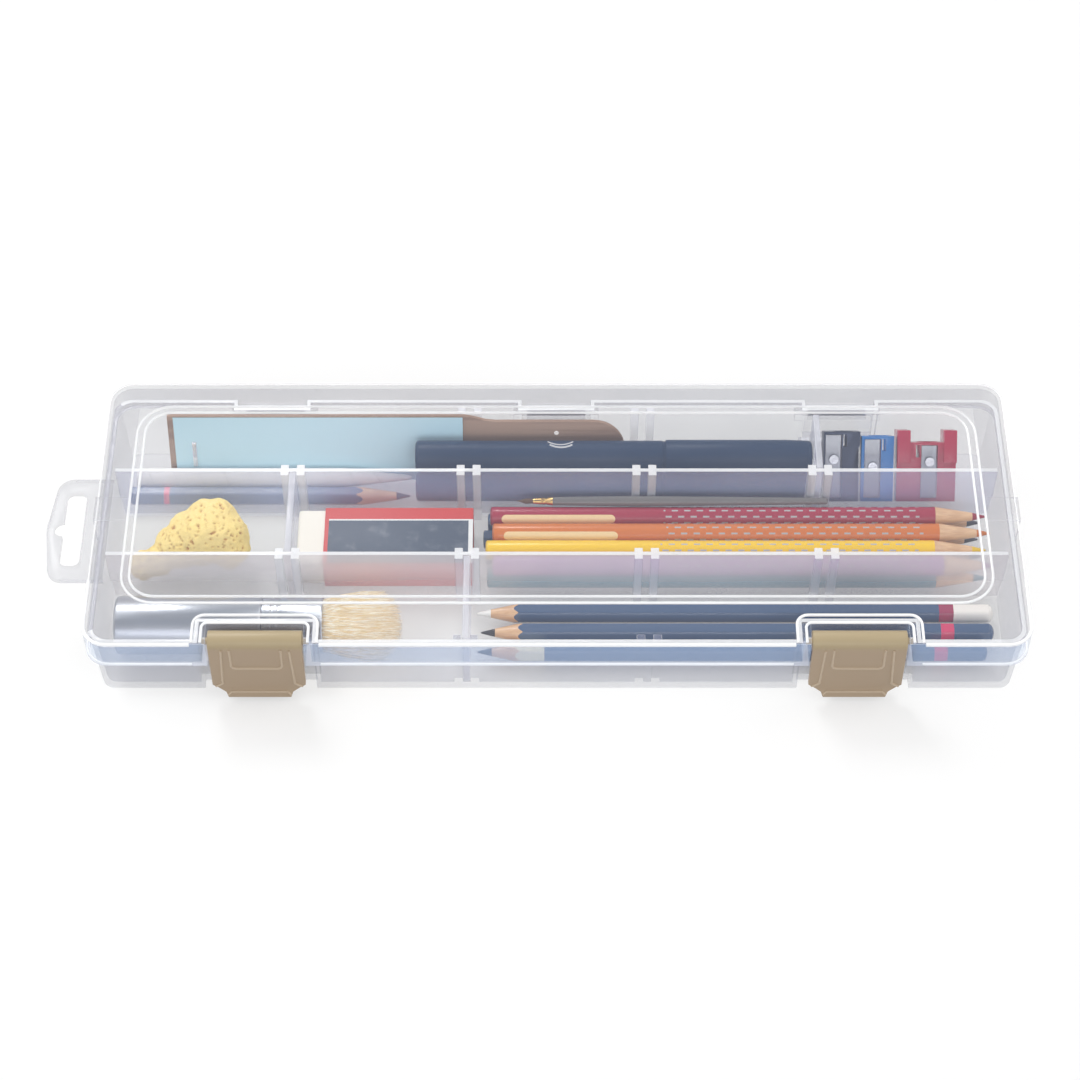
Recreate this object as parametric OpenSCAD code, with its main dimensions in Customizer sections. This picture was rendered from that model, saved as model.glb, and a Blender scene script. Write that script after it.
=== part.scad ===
// Slim art supply box: a tray with three long bays, a hinged lid, two snap
// latches, three removable dividers and the drawing supplies kept inside.
// Origin: middle of the tray's underside, below the middle of the lid.
// +X runs to the right, +Y to the hinge side, +Z up. The lid is closed.

/* [Case] */
// Length of the lid, left to right
lid_length = 318; // [316:1:324]
// Depth of the lid, front to back
lid_depth = 114; // [113:0.5:117]
// Height of the closed case, to the top of the stacking bead
case_height = 31.5; // [31:0.5:36]
// Radius of the lid's corners seen from above
corner_radius = 8; // [6:0.5:10]
// Thickness of the lid's skirt
lid_wall = 1.6; // [1.2:0.1:2]
// Thickness of the lid's top plate
lid_plate = 1.5; // [1.2:0.1:2]
// How far the skirt hangs below the plate's top face
skirt_height = 12.4; // [11:0.2:13]
// Rounding of the lid's top edge
edge_round = 2.4; // [1.5:0.1:3]
// Thickness of the tray's walls
tray_wall = 1.4; // [1:0.1:1.8]
// Thickness of the tray's floor
floor_thickness = 1.6; // [1.2:0.1:2]
// How much narrower each side of the tray is at its foot than at its rim
draft = 1.5; // [1:0.1:2]
// Gap between the tray's rim and the lid's skirt
skirt_gap = 0.4; // [0.3:0.1:0.6]
// Gap between the tray's rim and the lid's plate
rim_gap = 0.3; // [0.1:0.1:0.4]

/* [Stacking bead] */
// Height of the bead and of the collars round the latches
bead_height = 0.6; // [0.4:0.1:0.8]
// Width of the bead
bead_width = 2.8; // [2:0.2:3.4]
// Distance from the lid's short edges and back edge to the bead
bead_margin = 11.3; // [10.5:0.1:12.5]
// Distance from the lid's front edge to the bead
bead_front_margin = 16.9; // [16.5:0.1:18]
// Corner radius of the bead
bead_radius = 12; // [8:1:14]
// Width of the flat pad on the middle of each short side
side_pad_width = 10; // [6:1:14]
// How far that pad stands out of the skirt
side_pad_height = 0.5; // [0.3:0.1:0.8]

/* [Bays and dividers] */
// Clear depth of the back bay at the rim
back_bay = 28.6; // [28.4:0.1:29.2]
// Clear depth of the front bay at the rim
front_bay = 36.4; // [36:0.1:37]
// Thickness of the two long walls
bay_wall = 1.4; // [1:0.1:1.6]
// How far the long walls end below the tray's rim
bay_wall_drop = 1.6; // [1:0.1:2.4]
// Distance between divider stations
station_pitch = 61.6; // [61:0.1:62.4]
// Width of one rib of a divider slot
rib_width = 2.8; // [2:0.1:3]
// How far a rib stands out of its wall
rib_depth = 1.6; // [1.2:0.1:1.8]
// Height of the ribs behind the leaning paddle and sharpener
outer_rib_height = 14; // [10:1:14]
// Thickness of a divider
divider_thickness = 2.2; // [1.6:0.1:2.4]
// Gap each side of a divider in its slot
slot_gap = 0.3; // [0.2:0.1:0.4]

/* [Hinge] */
// Distance from the middle of the case to the outer hinges and the latches
hinge_offset = 101; // [99:0.5:103]
// Width of a hinge's recess in the tray
hinge_width = 24.5; // [20:0.5:26]
// Depth of that recess
hinge_recess = 3.7; // [3:0.1:4]
// Room between the lid's back edge and the tray's back wall
hinge_room = 6.4; // [6.3:0.1:6.8]
// Radius of the hinge pin
hinge_pin_radius = 1.3; // [1:0.05:1.4]
// Clearance round the hinge pin and the latch pins
pin_clearance = 0.1; // [0.05:0.01:0.1]
// Wall of the lid's clip round the pin
clip_wall = 1.3; // [1:0.1:1.5]
// Gap between the lid's clip and each tray ear
clip_side_gap = 1.75; // [0.5:0.25:2.5]
// Thickness of a tray ear
ear_thickness = 3; // [2:0.25:4]

/* [Latches] */
// Width of a latch
latch_width = 31.6; // [28:0.2:32]
// Gap between a latch and the lid's cheeks
latch_side_gap = 0.6; // [0.4:0.1:0.8]
// Depth of the lid's notch that a latch sits in
notch_depth = 8.5; // [8.2:0.1:9]
// Radius of the latch's barrel
barrel_radius = 3.5; // [3:0.1:3.7]
// Thickness of the latch's plate
latch_plate = 1.8; // [1.4:0.1:2.2]
// Radius of the latch's pins
latch_pin_radius = 1.2; // [0.9:0.05:1.4]
// Thickness of the lid's cheeks beside a latch
cheek = 2.2; // [1.8:0.1:2.6]
// Thickness of the wall behind a latch
notch_wall = 1.6; // [1.2:0.1:1.8]
// How far the latch's plate leans out from its barrel to its knee
latch_slope = 0.7; // [0:0.1:0.9]
// Height of the lip below the knee
lip_drop = 4.1; // [3:0.1:5]
// How far the lip kicks out from the knee
lip_kick = 1.6; // [1:0.1:1.8]
// Size of the cut-off lower corners
latch_corner = 5; // [3:0.5:6]
// Height of the latch's lower edge above the table
lip_height = 2.2; // [1:0.1:3]
// Height of the tray's catch above the table, at its underside
catch_height = 8.2; // [7.6:0.1:9]

/* [Hang tab] */
// How far the tab reaches beyond the lid's left edge
tab_reach = 19; // [18:0.5:22]
// Length of the tab along the case's side
tab_length = 44; // [42:1:48]
// Thickness of the tab
tab_thickness = 2; // [1.6:0.1:2.4]
// Length of the hang slot
hang_slot_length = 32; // [28:1:34]
// Width of the hang slot
hang_slot_width = 7; // [6:0.2:7.6]

/* [Supplies] */
// Length of a coloured pencil
pencil_length = 175; // [160:1:176]
// Radius of a coloured pencil
pencil_radius = 3.5; // [3.2:0.05:3.55]
// Length of the short pencil in the back bay
back_pencil_length = 100; // [80:1:101]
// Length of a drawing pencil
drawing_pencil_length = 179; // [160:1:180]
// Corner radius of a drawing pencil's hexagon
hex_radius = 3.6; // [3.3:0.05:3.65]
// Radius of a pencil's lead
lead_radius = 1.4; // [1:0.1:1.8]
// Length of a brush pen
pen_length = 141; // [130:1:142]
// Radius of a brush pen's barrel
pen_radius = 5.5; // [5:0.1:5.5]
// Length of the sanding paddle
paddle_length = 163; // [150:1:168]
// Width of the sanding paddle's blade
paddle_width = 27.3; // [25:0.1:27.4]
// Thickness of the sanding paddle
paddle_thickness = 1.6; // [1.4:0.1:1.6]
// Length of the eraser
eraser_length = 61; // [50:1:61]
// Width of the eraser
eraser_width = 23; // [18:1:25]
// Height of the eraser
eraser_height = 13; // [10:0.5:16]
// Radius of the blending brush's metal handle
blender_radius = 10; // [8:0.1:10]
// Length of that handle
blender_handle = 50; // [44:1:52]
// Length of the blending brush's ferrule
blender_ferrule = 21; // [16:1:22]
// Length of the blending brush's bristles
blender_bristle = 27; // [20:1:28]
// Length of the detail brush
detail_length = 110; // [90:1:140]
// Length of the detail brush's ferrule
detail_ferrule = 7; // [5:0.5:9]
// Length of the detail brush's hair
detail_hair = 6; // [4:0.5:8]
// Radius of the blending stump
stump_radius = 3.4; // [3:0.1:3.4]

/* [Hidden] */
$fn = 48;
cut = 1;          // overshoot of a cut past the face it opens
bond = 0.5;       // how far a moulded detail sinks into its wall
touch = 0.05;     // gap under a supply that lies on something

// lid
lid_x = lid_length / 2;
lid_y = lid_depth / 2;
plate_top = case_height - bead_height;
plate_under = plate_top - lid_plate;
skirt_bottom = plate_top - skirt_height;

// tray, outside
rim_x = lid_x - lid_wall - skirt_gap;
rim_front = -(lid_y - lid_wall - skirt_gap);
rim_back = lid_y - hinge_room;
rim_z = plate_under - rim_gap;
rim_radius = corner_radius - lid_wall - skirt_gap;
foot_radius = rim_radius - draft;
sliver = 0.01;

// tray, inside
inner_x = rim_x - tray_wall;
inner_front = rim_front + tray_wall;
inner_back = rim_back - tray_wall;
foot_inner_x = inner_x - draft;
foot_inner_front = inner_front + draft;
foot_inner_back = inner_back - draft;
wall_back_y = inner_back - back_bay;              // back face of the rear wall
wall_front_y = inner_front + front_bay;           // front face of the fore wall
bay_wall_top = rim_z - bay_wall_drop;
inner_stations = [-0.5 * station_pitch, 0.5 * station_pitch];
outer_stations = [-1.5 * station_pitch, 1.5 * station_pitch];
stations = [outer_stations[0], inner_stations[0], inner_stations[1], outer_stations[1]];
slot_width = divider_thickness + 2 * slot_gap;

// hinge
hinge_stations = [-hinge_offset, 0, hinge_offset];
recess_y = rim_back - hinge_recess;               // outer face of the recess
recess_inner_y = recess_y - tray_wall;
ear_gap = 0.2;                                    // ear to the lid's skirt
ear_radius = 2;
hinge_y = lid_y - lid_wall - ear_gap - ear_radius;
hinge_z = skirt_bottom + 0.5;
clip_radius = hinge_pin_radius + pin_clearance + clip_wall;
clip_half = hinge_width / 2 - clip_side_gap;
clip_mouth = 2 * hinge_pin_radius - 0.5;
recess_floor = hinge_z - clip_radius - 4;

// latches
latch_stations = [-hinge_offset, hinge_offset];
notch_half = latch_width / 2 + latch_side_gap;
notch_y = -lid_y + notch_depth;
surround_half = notch_half + cheek;
surround_y = notch_y + notch_wall;
pivot_y = notch_y - 1 - barrel_radius;
pivot_z = plate_top - barrel_radius;
latch_front_y = pivot_y - barrel_radius;
pin_reach = latch_width / 2 + latch_side_gap + 1.5;
pocket_gap = 0.5;                                 // tray pocket to the lid's cheeks
pocket_half = surround_half + pocket_gap;
pocket_y = surround_y + pocket_gap;
pocket_floor = skirt_bottom - 1.1;
catch_face_y = rim_front + 4.9;                   // tray wall behind a latch
catch_reach = 2.5;
catch_thickness = 1.6;
catch_half = 12;
hook_gap = 0.3;
hook_half = 11;
collar_width = 3.4;

// hang tab
tab_top = skirt_bottom - 1;
tab_middle_y = 1.5;
tab_outer_x = -(lid_x + tab_reach);

// supplies that lie in the bays
bed = floor_thickness + touch;
rib_back_face = wall_back_y + rib_depth;
rib_middle_high = wall_back_y - bay_wall - rib_depth;
rib_middle_low = wall_front_y + bay_wall + rib_depth;
rib_front_high = wall_front_y - rib_depth;
right_end = foot_inner_x - 0.8;
left_end = -foot_inner_x + 0.8;
hex_flat = hex_radius * cos(30);                  // from a hexagon's middle to its flats
under_shift = 2.3;                                // lower pencils, back from the upper
low_z = bed + hex_flat;
high_z = low_z + hex_flat + touch + sqrt(pow(pencil_radius, 2) - pow(under_shift - hex_radius / 2, 2));
teal_z = bed + pencil_radius;
pencil_pitch = 2 * hex_radius + 0.2;
row_end_y = rib_middle_low + pencil_radius + 0.1; // the pencils against the fore wall
red_y = row_end_y + 3 * pencil_pitch;
colour_x = right_end - 1.6;
back_pencil_y = rib_back_face + hex_radius + 0.2;
cone_length = 18;
graphite_cone = 20;
bore_gap = 0.02;

paddle_lean = 73;
paddle_back_y = recess_inner_y - 0.3 - paddle_width * cos(paddle_lean);
paddle_x = left_end + 14.8;
paper_thickness = 0.6;
paper_length = 103;
paper_inset = 2.2;
handle_inset = 2.3;
staple_length = 11;
staple_wire = 0.6;

pen_rim = 0.3;                                    // cap stands out of the barrel
pen_y = rib_back_face + pen_radius + 0.5 + pen_rim;
pen_step = 2 * (pen_radius + pen_rim) + 0.1;      // between two pens that touch
pen_shift = 5.4;                                  // upper pen, back from the lower
pen_end = stations[3] - divider_thickness / 2 - 0.4;
pen_cap_length = 52;
pen_neck_length = 20;
pen_cap_wall = 1.1;

stump_rise = 17.5;                                // up from the pencil that it lies against
stump_point = 24;
stump_edge = 2;
stump_start = left_end + 3;

sharpener_lean = 42;
sharpener_low = 6.4;                              // height of a sharpener at its narrow end
sharpener_high = 9.6;                             // and at its pencil end
sharpener_y = rib_back_face + 0.1 + sharpener_low * sin(sharpener_lean);
sharpener_x = stations[3] + divider_thickness / 2 + 1.7;

// ---- shared shapes ----

// Rounded rectangle between two opposite corners, drawn flat
module round_rect(x0, y0, x1, y1, r) {
  translate([x0 + r, y0]) square([x1 - x0 - 2 * r, y1 - y0]);
  translate([x0, y0 + r]) square([x1 - x0, y1 - y0 - 2 * r]);
  for (x = [x0 + r, x1 - r], y = [y0 + r, y1 - r]) translate([x, y]) circle(r);
}

// Block between two opposite corners
module block(low, high) {
  translate(low) cube(high - low);
}

// Rod along X
module rod(x0, x1, y, z, r) {
  translate([x0, y, z]) rotate([0, 90, 0]) cylinder(h = x1 - x0, r = r);
}

// Cone along X, from radius r0 at x0 to r1 at x1
module rod_cone(x0, x1, y, z, r0, r1) {
  translate([x0, y, z]) rotate([0, 90, 0]) cylinder(h = x1 - x0, r1 = r0, r2 = r1);
}

// ---- tray ----

// Tapered body of the tray: the rim's outline above, the foot's below
module tray_body(inset, z0, z1) {
  hull() {
    translate([0, 0, z0]) linear_extrude(sliver)
      round_rect(-rim_x + draft + inset, rim_front + draft + inset,
        rim_x - draft - inset, rim_back - draft - inset, foot_radius - inset / 2, $fn = 32);
    translate([0, 0, z1 - sliver]) linear_extrude(sliver)
      round_rect(-rim_x + inset, rim_front + inset,
        rim_x - inset, rim_back - inset, rim_radius - inset / 2, $fn = 32);
  }
}

// Recesses for the hinges and the latches, grown by t on every side
module recesses(t) {
  for (x = hinge_stations)
    block([x - hinge_width / 2 - t, recess_y - t, recess_floor - t],
      [x + hinge_width / 2 + t, lid_y, case_height]);
  for (x = latch_stations) {
    block([x - pocket_half - t, -lid_y, -cut], [x + pocket_half + t, catch_face_y + t, case_height]);
    block([x - pocket_half - t, -lid_y, pocket_floor - t],
      [x + pocket_half + t, pocket_y + t, case_height]);
  }
}

// A rib each side of the slot at each given station, between two faces
module slot_ribs(places, y0, y1, top) {
  for (x = places, side = [-1, 1]) {
    at = x + side * (slot_width + rib_width) / 2;
    block([at - rib_width / 2, y0, bond], [at + rib_width / 2, y1, top]);
  }
}

// Ribs of the inner slots on a drafted wall that stands at foot_y; way points into the tray
module drafted_ribs(foot_y, way) {
  top_y = foot_y - way * (draft + bond);
  face_y = foot_y + way * rib_depth;
  for (x = inner_stations, side = [-1, 1])
    translate([x + side * (slot_width + rib_width) / 2 - rib_width / 2, 0, 0]) rotate([90, 0, 90])
      linear_extrude(rib_width) polygon([[foot_y - way * bond, bond], [face_y, bond],
        [face_y, bay_wall_top], [top_y, bay_wall_top]]);
}

module hinge_ears() {
  for (x = hinge_stations, side = [-1, 1]) {
    inner = x + side * hinge_width / 2;
    outer = inner + side * ear_thickness;
    rod(min(inner, outer), max(inner, outer), hinge_y, hinge_z, ear_radius);
    block([min(inner, outer), inner_back, hinge_z - ear_radius / 2],
      [max(inner, outer), hinge_y, hinge_z + ear_radius]);
  }
  for (x = hinge_stations)
    rod(x - hinge_width / 2 - bond, x + hinge_width / 2 + bond, hinge_y, hinge_z, hinge_pin_radius);
}

module hang_tab() {
  slot_y = tab_middle_y - hang_slot_length / 2;
  slot_x = tab_outer_x + 5.8;
  translate([0, 0, tab_top - tab_thickness]) linear_extrude(tab_thickness) difference() {
    hull($fn = 32) {
      translate([tab_outer_x + 8, tab_middle_y + tab_length / 2 - 6]) circle(6);
      translate([tab_outer_x + 7, tab_middle_y - tab_length / 2 + 5]) circle(5);
      translate([tab_outer_x + 6, tab_middle_y]) circle(6);
      translate([-rim_x, tab_middle_y - tab_length / 2]) square([draft, tab_length]);
    }
    round_rect(slot_x, slot_y, slot_x + hang_slot_width, slot_y + hang_slot_length, 2.5);
    translate([slot_x, tab_middle_y]) circle(3.2);
  }
}

module base_tray() {
  color([0.90, 0.91, 0.95, 0.45]) {
    difference() {
      tray_body(0, 0, rim_z);
      difference() {
        tray_body(tray_wall, floor_thickness, rim_z + cut);
        recesses(tray_wall);
      }
      recesses(0);
    }
    tray_walls();
    hinge_ears();
    hang_tab();
    for (x = latch_stations)
      block([x - catch_half, catch_face_y - catch_reach, catch_height],
        [x + catch_half, catch_face_y + bond, catch_height + catch_thickness]);
  }
}

// Long walls and slot ribs, which end inside the tray's own walls
module tray_walls() {
  for (y = [wall_back_y - bay_wall, wall_front_y])
    block([-inner_x + draft - bond, y, bond], [inner_x - draft + bond, y + bay_wall, bay_wall_top]);
  slot_ribs(stations, wall_back_y - bay_wall - rib_depth, wall_back_y + rib_depth, bay_wall_top);
  slot_ribs(stations, wall_front_y - rib_depth, wall_front_y + bay_wall + rib_depth, bay_wall_top);
  drafted_ribs(foot_inner_front, 1);
  drafted_ribs(foot_inner_back, -1);
  slot_ribs(outer_stations, recess_inner_y - rib_depth, recess_inner_y + bond, outer_rib_height);
}

// ---- lid ----

// Outside of the lid, with its top edge rounded in two steps
module lid_body() {
  hull() {
    translate([0, 0, skirt_bottom]) linear_extrude(plate_top - edge_round - skirt_bottom)
      round_rect(-lid_x, -lid_y, lid_x, lid_y, corner_radius, $fn = 32);
    translate([0, 0, plate_top - edge_round * 0.3]) linear_extrude(sliver)
      round_rect(-lid_x + edge_round * 0.3, -lid_y + edge_round * 0.3,
        lid_x - edge_round * 0.3, lid_y - edge_round * 0.3, corner_radius - edge_round * 0.3, $fn = 32);
    translate([0, 0, plate_top - sliver]) linear_extrude(sliver)
      round_rect(-lid_x + edge_round, -lid_y + edge_round,
        lid_x - edge_round, lid_y - edge_round, corner_radius - edge_round, $fn = 32);
  }
}

module lid_hollow() {
  translate([0, 0, skirt_bottom - cut]) linear_extrude(plate_under - skirt_bottom + cut)
    round_rect(-lid_x + lid_wall, -lid_y + lid_wall,
      lid_x - lid_wall, lid_y - lid_wall, corner_radius - lid_wall);
}

// Raised bead round the top, for stacking
module stacking_bead() {
  x = lid_x - bead_margin;
  back = lid_y - bead_margin;
  front = -lid_y + bead_front_margin;
  translate([0, 0, plate_top - bond]) linear_extrude(bead_height + bond) difference() {
    round_rect(-x, front, x, back, bead_radius);
    round_rect(-x + bead_width, front + bead_width, x - bead_width, back - bead_width,
      bead_radius - bead_width);
  }
}

// Raised collar on the plate round a latch's notch
module latch_collar(x) {
  half = notch_half + collar_width;
  translate([0, 0, plate_top - bond]) linear_extrude(bead_height + bond)
    round_rect(x - half, -lid_y + edge_round, x + half, notch_y + collar_width, 4);
}

module side_pads() {
  for (side = [-1, 1]) {
    inner = side * (lid_x - bead_margin);
    outer = side * (lid_x + side_pad_height);
    block([min(inner, outer), -side_pad_width / 2, skirt_bottom + 1],
      [max(inner, outer), side_pad_width / 2, plate_top + side_pad_height / 2]);
  }
}

// Clips that snap on the tray's hinge pins
module hinge_clips() {
  for (x = hinge_stations) {
    rod(x - clip_half, x + clip_half, hinge_y, hinge_z, clip_radius);
    block([x - clip_half, hinge_y, hinge_z - clip_radius],
      [x + clip_half, lid_y - lid_wall + bond, hinge_z + clip_radius]);
  }
}

module lid() {
  color([0.93, 0.94, 0.97, 0.35]) difference() {
    union() {
      difference() {
        union() {
          lid_body();
          side_pads();
        }
        difference() {
          lid_hollow();
          for (x = latch_stations)
            block([x - surround_half, -lid_y, skirt_bottom], [x + surround_half, surround_y, plate_top]);
        }
      }
      stacking_bead();
      for (x = latch_stations) latch_collar(x);
      hinge_clips();
    }
    for (x = latch_stations) {
      block([x - notch_half, -lid_y - cut, skirt_bottom - cut],
        [x + notch_half, notch_y, case_height + cut]);
      rod(x - surround_half - cut, x + surround_half + cut, pivot_y, pivot_z,
        latch_pin_radius + pin_clearance);
    }
    for (x = hinge_stations) {
      rod(x - clip_half - cut, x + clip_half + cut, hinge_y, hinge_z, hinge_pin_radius + pin_clearance);
      block([x - clip_half - cut, hinge_y - clip_radius - cut, hinge_z - clip_mouth / 2],
        [x + clip_half + cut, hinge_y, hinge_z + clip_mouth / 2]);
    }
  }
}

// ---- latches ----

// Side profile of a latch: Y to the right, Z up
module latch_profile() {
  knee = lip_height + lip_drop;
  front = latch_front_y - latch_slope;
  translate([pivot_y, pivot_z]) circle(barrel_radius);
  polygon([[latch_front_y, pivot_z], [front, knee], [front - lip_kick, lip_height],
    [front - lip_kick + latch_plate, lip_height], [front + latch_plate, knee],
    [latch_front_y + latch_plate, pivot_z]]);
}

// Front outline of a latch, narrower at its lip
module latch_outline() {
  half = latch_width / 2;
  right = [[half, case_height + cut], [half, lip_height + latch_corner],
    [half - latch_corner + 0.6, lip_height + lip_drop / 2], [half - latch_corner - 0.5, lip_height - cut]];
  polygon(concat(right, [for (i = [3:-1:0]) [-right[i][0], right[i][1]]]));
}

module latch(x) {
  color([0.66, 0.59, 0.49]) {
    intersection() {
      translate([x - latch_width / 2, 0, 0]) rotate([90, 0, 90])
        linear_extrude(latch_width) latch_profile();
      translate([x, 0, 0]) rotate([90, 0, 0])
        translate([0, 0, -pivot_y - 2 * barrel_radius]) linear_extrude(6 * barrel_radius) latch_outline();
    }
    block([x - hook_half, latch_front_y + latch_plate - 1.2, catch_height - hook_gap - 2],
      [x + hook_half, catch_face_y - 0.9, catch_height - hook_gap]);
    rod(x - pin_reach, x + pin_reach, pivot_y, pivot_z, latch_pin_radius);
  }
}
module latch_left() { latch(-hinge_offset); }
module latch_right() { latch(hinge_offset); }

// ---- dividers ----

// A divider that drops into the slots at a station, between two faces
module divider(x, y0, y1) {
  color([0.95, 0.95, 0.97, 0.6])
    block([x - divider_thickness / 2, y0 + slot_gap, floor_thickness],
      [x + divider_thickness / 2, y1 - slot_gap, bay_wall_top]);
}
module divider_back() { divider(stations[3], wall_back_y, recess_inner_y); }
module divider_middle() { divider(stations[0], wall_front_y + bay_wall, wall_back_y - bay_wall); }
module divider_front() { divider(stations[1], foot_inner_front, wall_front_y); }

// ---- supplies: sanding paddle ----

// Places a child on the leaning board: X along it, Y up its face, Z out of it
module on_paddle() {
  translate([paddle_x, paddle_back_y, bed]) rotate([paddle_lean, 0, 0]) children();
}

module paddle_board() {
  blade = paper_length + paper_inset;
  grip = (paddle_width - 2 * handle_inset) / 2;
  color([0.72, 0.56, 0.44]) on_paddle() linear_extrude(paddle_thickness) {
    square([blade, paddle_width]);
    translate([blade - bond, handle_inset]) square([paddle_length - blade - grip + bond, 2 * grip]);
    translate([paddle_length - grip, handle_inset + grip]) circle(grip);
  }
}

module paddle_paper() {
  color([0.72, 0.87, 0.94]) on_paddle()
    block([paper_inset, 0.3, paddle_thickness],
      [paper_inset + paper_length, paddle_width - 0.4, paddle_thickness + paper_thickness]);
}

module paddle_staple() {
  color([0.6, 0.65, 0.7]) on_paddle()
    translate([paper_inset + 6.6, paddle_width * 0.22, paddle_thickness + paper_thickness])
      cube([staple_wire, staple_length, staple_wire]);
}

// ---- supplies: brush pens ----

// Barrel with its neck, ending where the cap ends
module pen_barrel(y, z) {
  start = pen_end - pen_length;
  join = pen_end - pen_cap_length;
  color([0.16, 0.20, 0.30]) {
    rod_cone(start, start + 1, y, z, pen_radius - 1, pen_radius);
    rod(start + 1, join, y, z, pen_radius);
    rod(join - bond, join + pen_neck_length, y, z, pen_radius - pen_cap_wall);
  }
}

module pen_cap(y, z) {
  join = pen_end - pen_cap_length;
  outer = pen_radius + pen_rim;
  color([0.14, 0.18, 0.27]) difference() {
    union() {
      rod(join, pen_end - 1.5, y, z, outer);
      rod_cone(pen_end - 1.5, pen_end, y, z, outer, outer - 1.5);
    }
    rod(join - cut, pen_end - 3, y, z, pen_radius - pen_cap_wall + bore_gap);
  }
}
low_pen_z = bed + pen_radius + pen_rim;
high_pen_y = pen_y + pen_shift;
high_pen_z = low_pen_z + sqrt(pen_step * pen_step - pen_shift * pen_shift);
module upper_pen_barrel() { pen_barrel(high_pen_y, high_pen_z); }
module upper_pen_cap() { pen_cap(high_pen_y, high_pen_z); }
module lower_pen_barrel() { pen_barrel(pen_y, low_pen_z); }
module lower_pen_cap() { pen_cap(pen_y, low_pen_z); }

// Rolled paper stump with one long point, wedged between the back pencil and the paddle
module blending_stump() {
  reach = hex_radius + stump_radius + 0.1;
  y = back_pencil_y + reach * cos(stump_rise);
  z = low_z + reach * sin(stump_rise);
  tip = pen_end - pen_length - 1.5;
  color([0.85, 0.84, 0.83]) {
    rod_cone(stump_start, stump_start + stump_edge, y, z, stump_radius - 0.6, stump_radius);
    rod(stump_start + stump_edge, tip - stump_point, y, z, stump_radius);
    rod_cone(tip - stump_point, tip, y, z, stump_radius, 0.5);
  }
}

// ---- supplies: sharpeners ----

// Places a child on a leaning sharpener: X across, Y up its length, Z out of its face
module on_sharpener(x) {
  translate([x, sharpener_y, bed]) rotate([sharpener_lean, 0, 0]) children();
}

sharpener_length = 25;
metal_length = 25;
blue_length = 23.4;
red_length = 21.2;
blade_width = 5.8;
blade_foot = 1.5;                                 // up a sharpener's face to its blade
blade_end_gap = 0.9;
blade_thickness = 0.6;
screw_radius = 1.2;
screw_head = 1.9;
metal_screw_rise = 15.5;                          // up a sharpener's face to its screw
blue_screw_rise = 12.8;
red_screw_rise = 14.6;
screw_bore_floor = 2;
screw_bore = 10;
point_bore_floor = 3;                             // solid foot under the cone a pencil turns in
point_bore_wide = 4;
point_bore_narrow = 1.2;
point_bore_depth = 4.8;
arm_width = 4.5;
arm_rise = 14;
arm_stand = 4.3;                                  // arms past the sharpener's pencil end
arm_proud = 0.8;
face_tilt = atan((sharpener_high - sharpener_low) / sharpener_length);
metal_width = 12.8;
blue_width = 11.4;
red_width = 21;
blue_x = sharpener_x + metal_width + 0.6;
red_x = blue_x + blue_width + 1.2;
metal_blade_x = sharpener_x + 0.5;
blue_blade_x = blue_x + 1;
red_blade_x = red_x + 8.6;
bore_offset = 0.6;
blade_list = [[metal_blade_x, metal_length, metal_screw_rise],
  [blue_blade_x, blue_length, blue_screw_rise], [red_blade_x, red_length, red_screw_rise]];

// Wedge body with the cone a pencil turns in, and a hole for the blade's screw
module sharpener_body(x, width, length, blade_x, screw_rise) {
  high = sharpener_low + length * tan(face_tilt);
  on_sharpener(x) difference() {
    rotate([90, 0, 90]) linear_extrude(width)
      polygon([[0, 0], [length, 0], [length, high], [0, sharpener_low]]);
    translate([width / 2 + bore_offset, length + cut, point_bore_depth]) rotate([90, 0, 0])
      cylinder(h = length - point_bore_floor, r1 = point_bore_wide, r2 = point_bore_narrow);
    translate([blade_x - x + blade_width / 2, screw_rise, screw_bore_floor])
      cylinder(h = screw_bore, r = screw_radius + bore_gap);
  }
}

module on_blade(x) {
  on_sharpener(x) translate([0, 0, sharpener_low]) rotate([face_tilt, 0, 0]) children();
}

module metal_sharpener() {
  color([0.22, 0.25, 0.33])
    sharpener_body(sharpener_x, metal_width, metal_length, metal_blade_x, metal_screw_rise);
}
module blue_sharpener() {
  color([0.16, 0.42, 0.76])
    sharpener_body(blue_x, blue_width, blue_length, blue_blade_x, blue_screw_rise);
}

// The red one has an arm each side that stands above its pencil end
module red_sharpener() {
  color([0.74, 0.12, 0.24]) {
    sharpener_body(red_x, red_width, red_length, red_blade_x, red_screw_rise);
    for (x = [red_x, red_x + red_width - arm_width])
      on_sharpener(x) block([0, arm_rise, 0],
        [arm_width, red_length + arm_stand, sharpener_high + arm_proud]);
  }
}

module sharpener_blades() {
  color([0.66, 0.68, 0.70]) for (blade = blade_list)
    on_blade(blade[0]) difference() {
      block([0, blade_foot, touch],
        [blade_width, blade[1] - blade_end_gap, touch + blade_thickness]);
      translate([blade_width / 2, blade[2], -cut]) cylinder(h = 3, r = screw_radius + bore_gap);
    }
}

module sharpener_screws() {
  color([0.78, 0.79, 0.80]) for (blade = blade_list)
    on_blade(blade[0]) translate([blade_width / 2, blade[2], 0]) {
      translate([0, 0, touch + blade_thickness + bore_gap]) cylinder(h = 0.9, r = screw_head);
      translate([0, 0, -2]) cylinder(h = 3, r = screw_radius - 0.1);
    }
}

// ---- supplies: sponge and eraser ----

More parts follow.
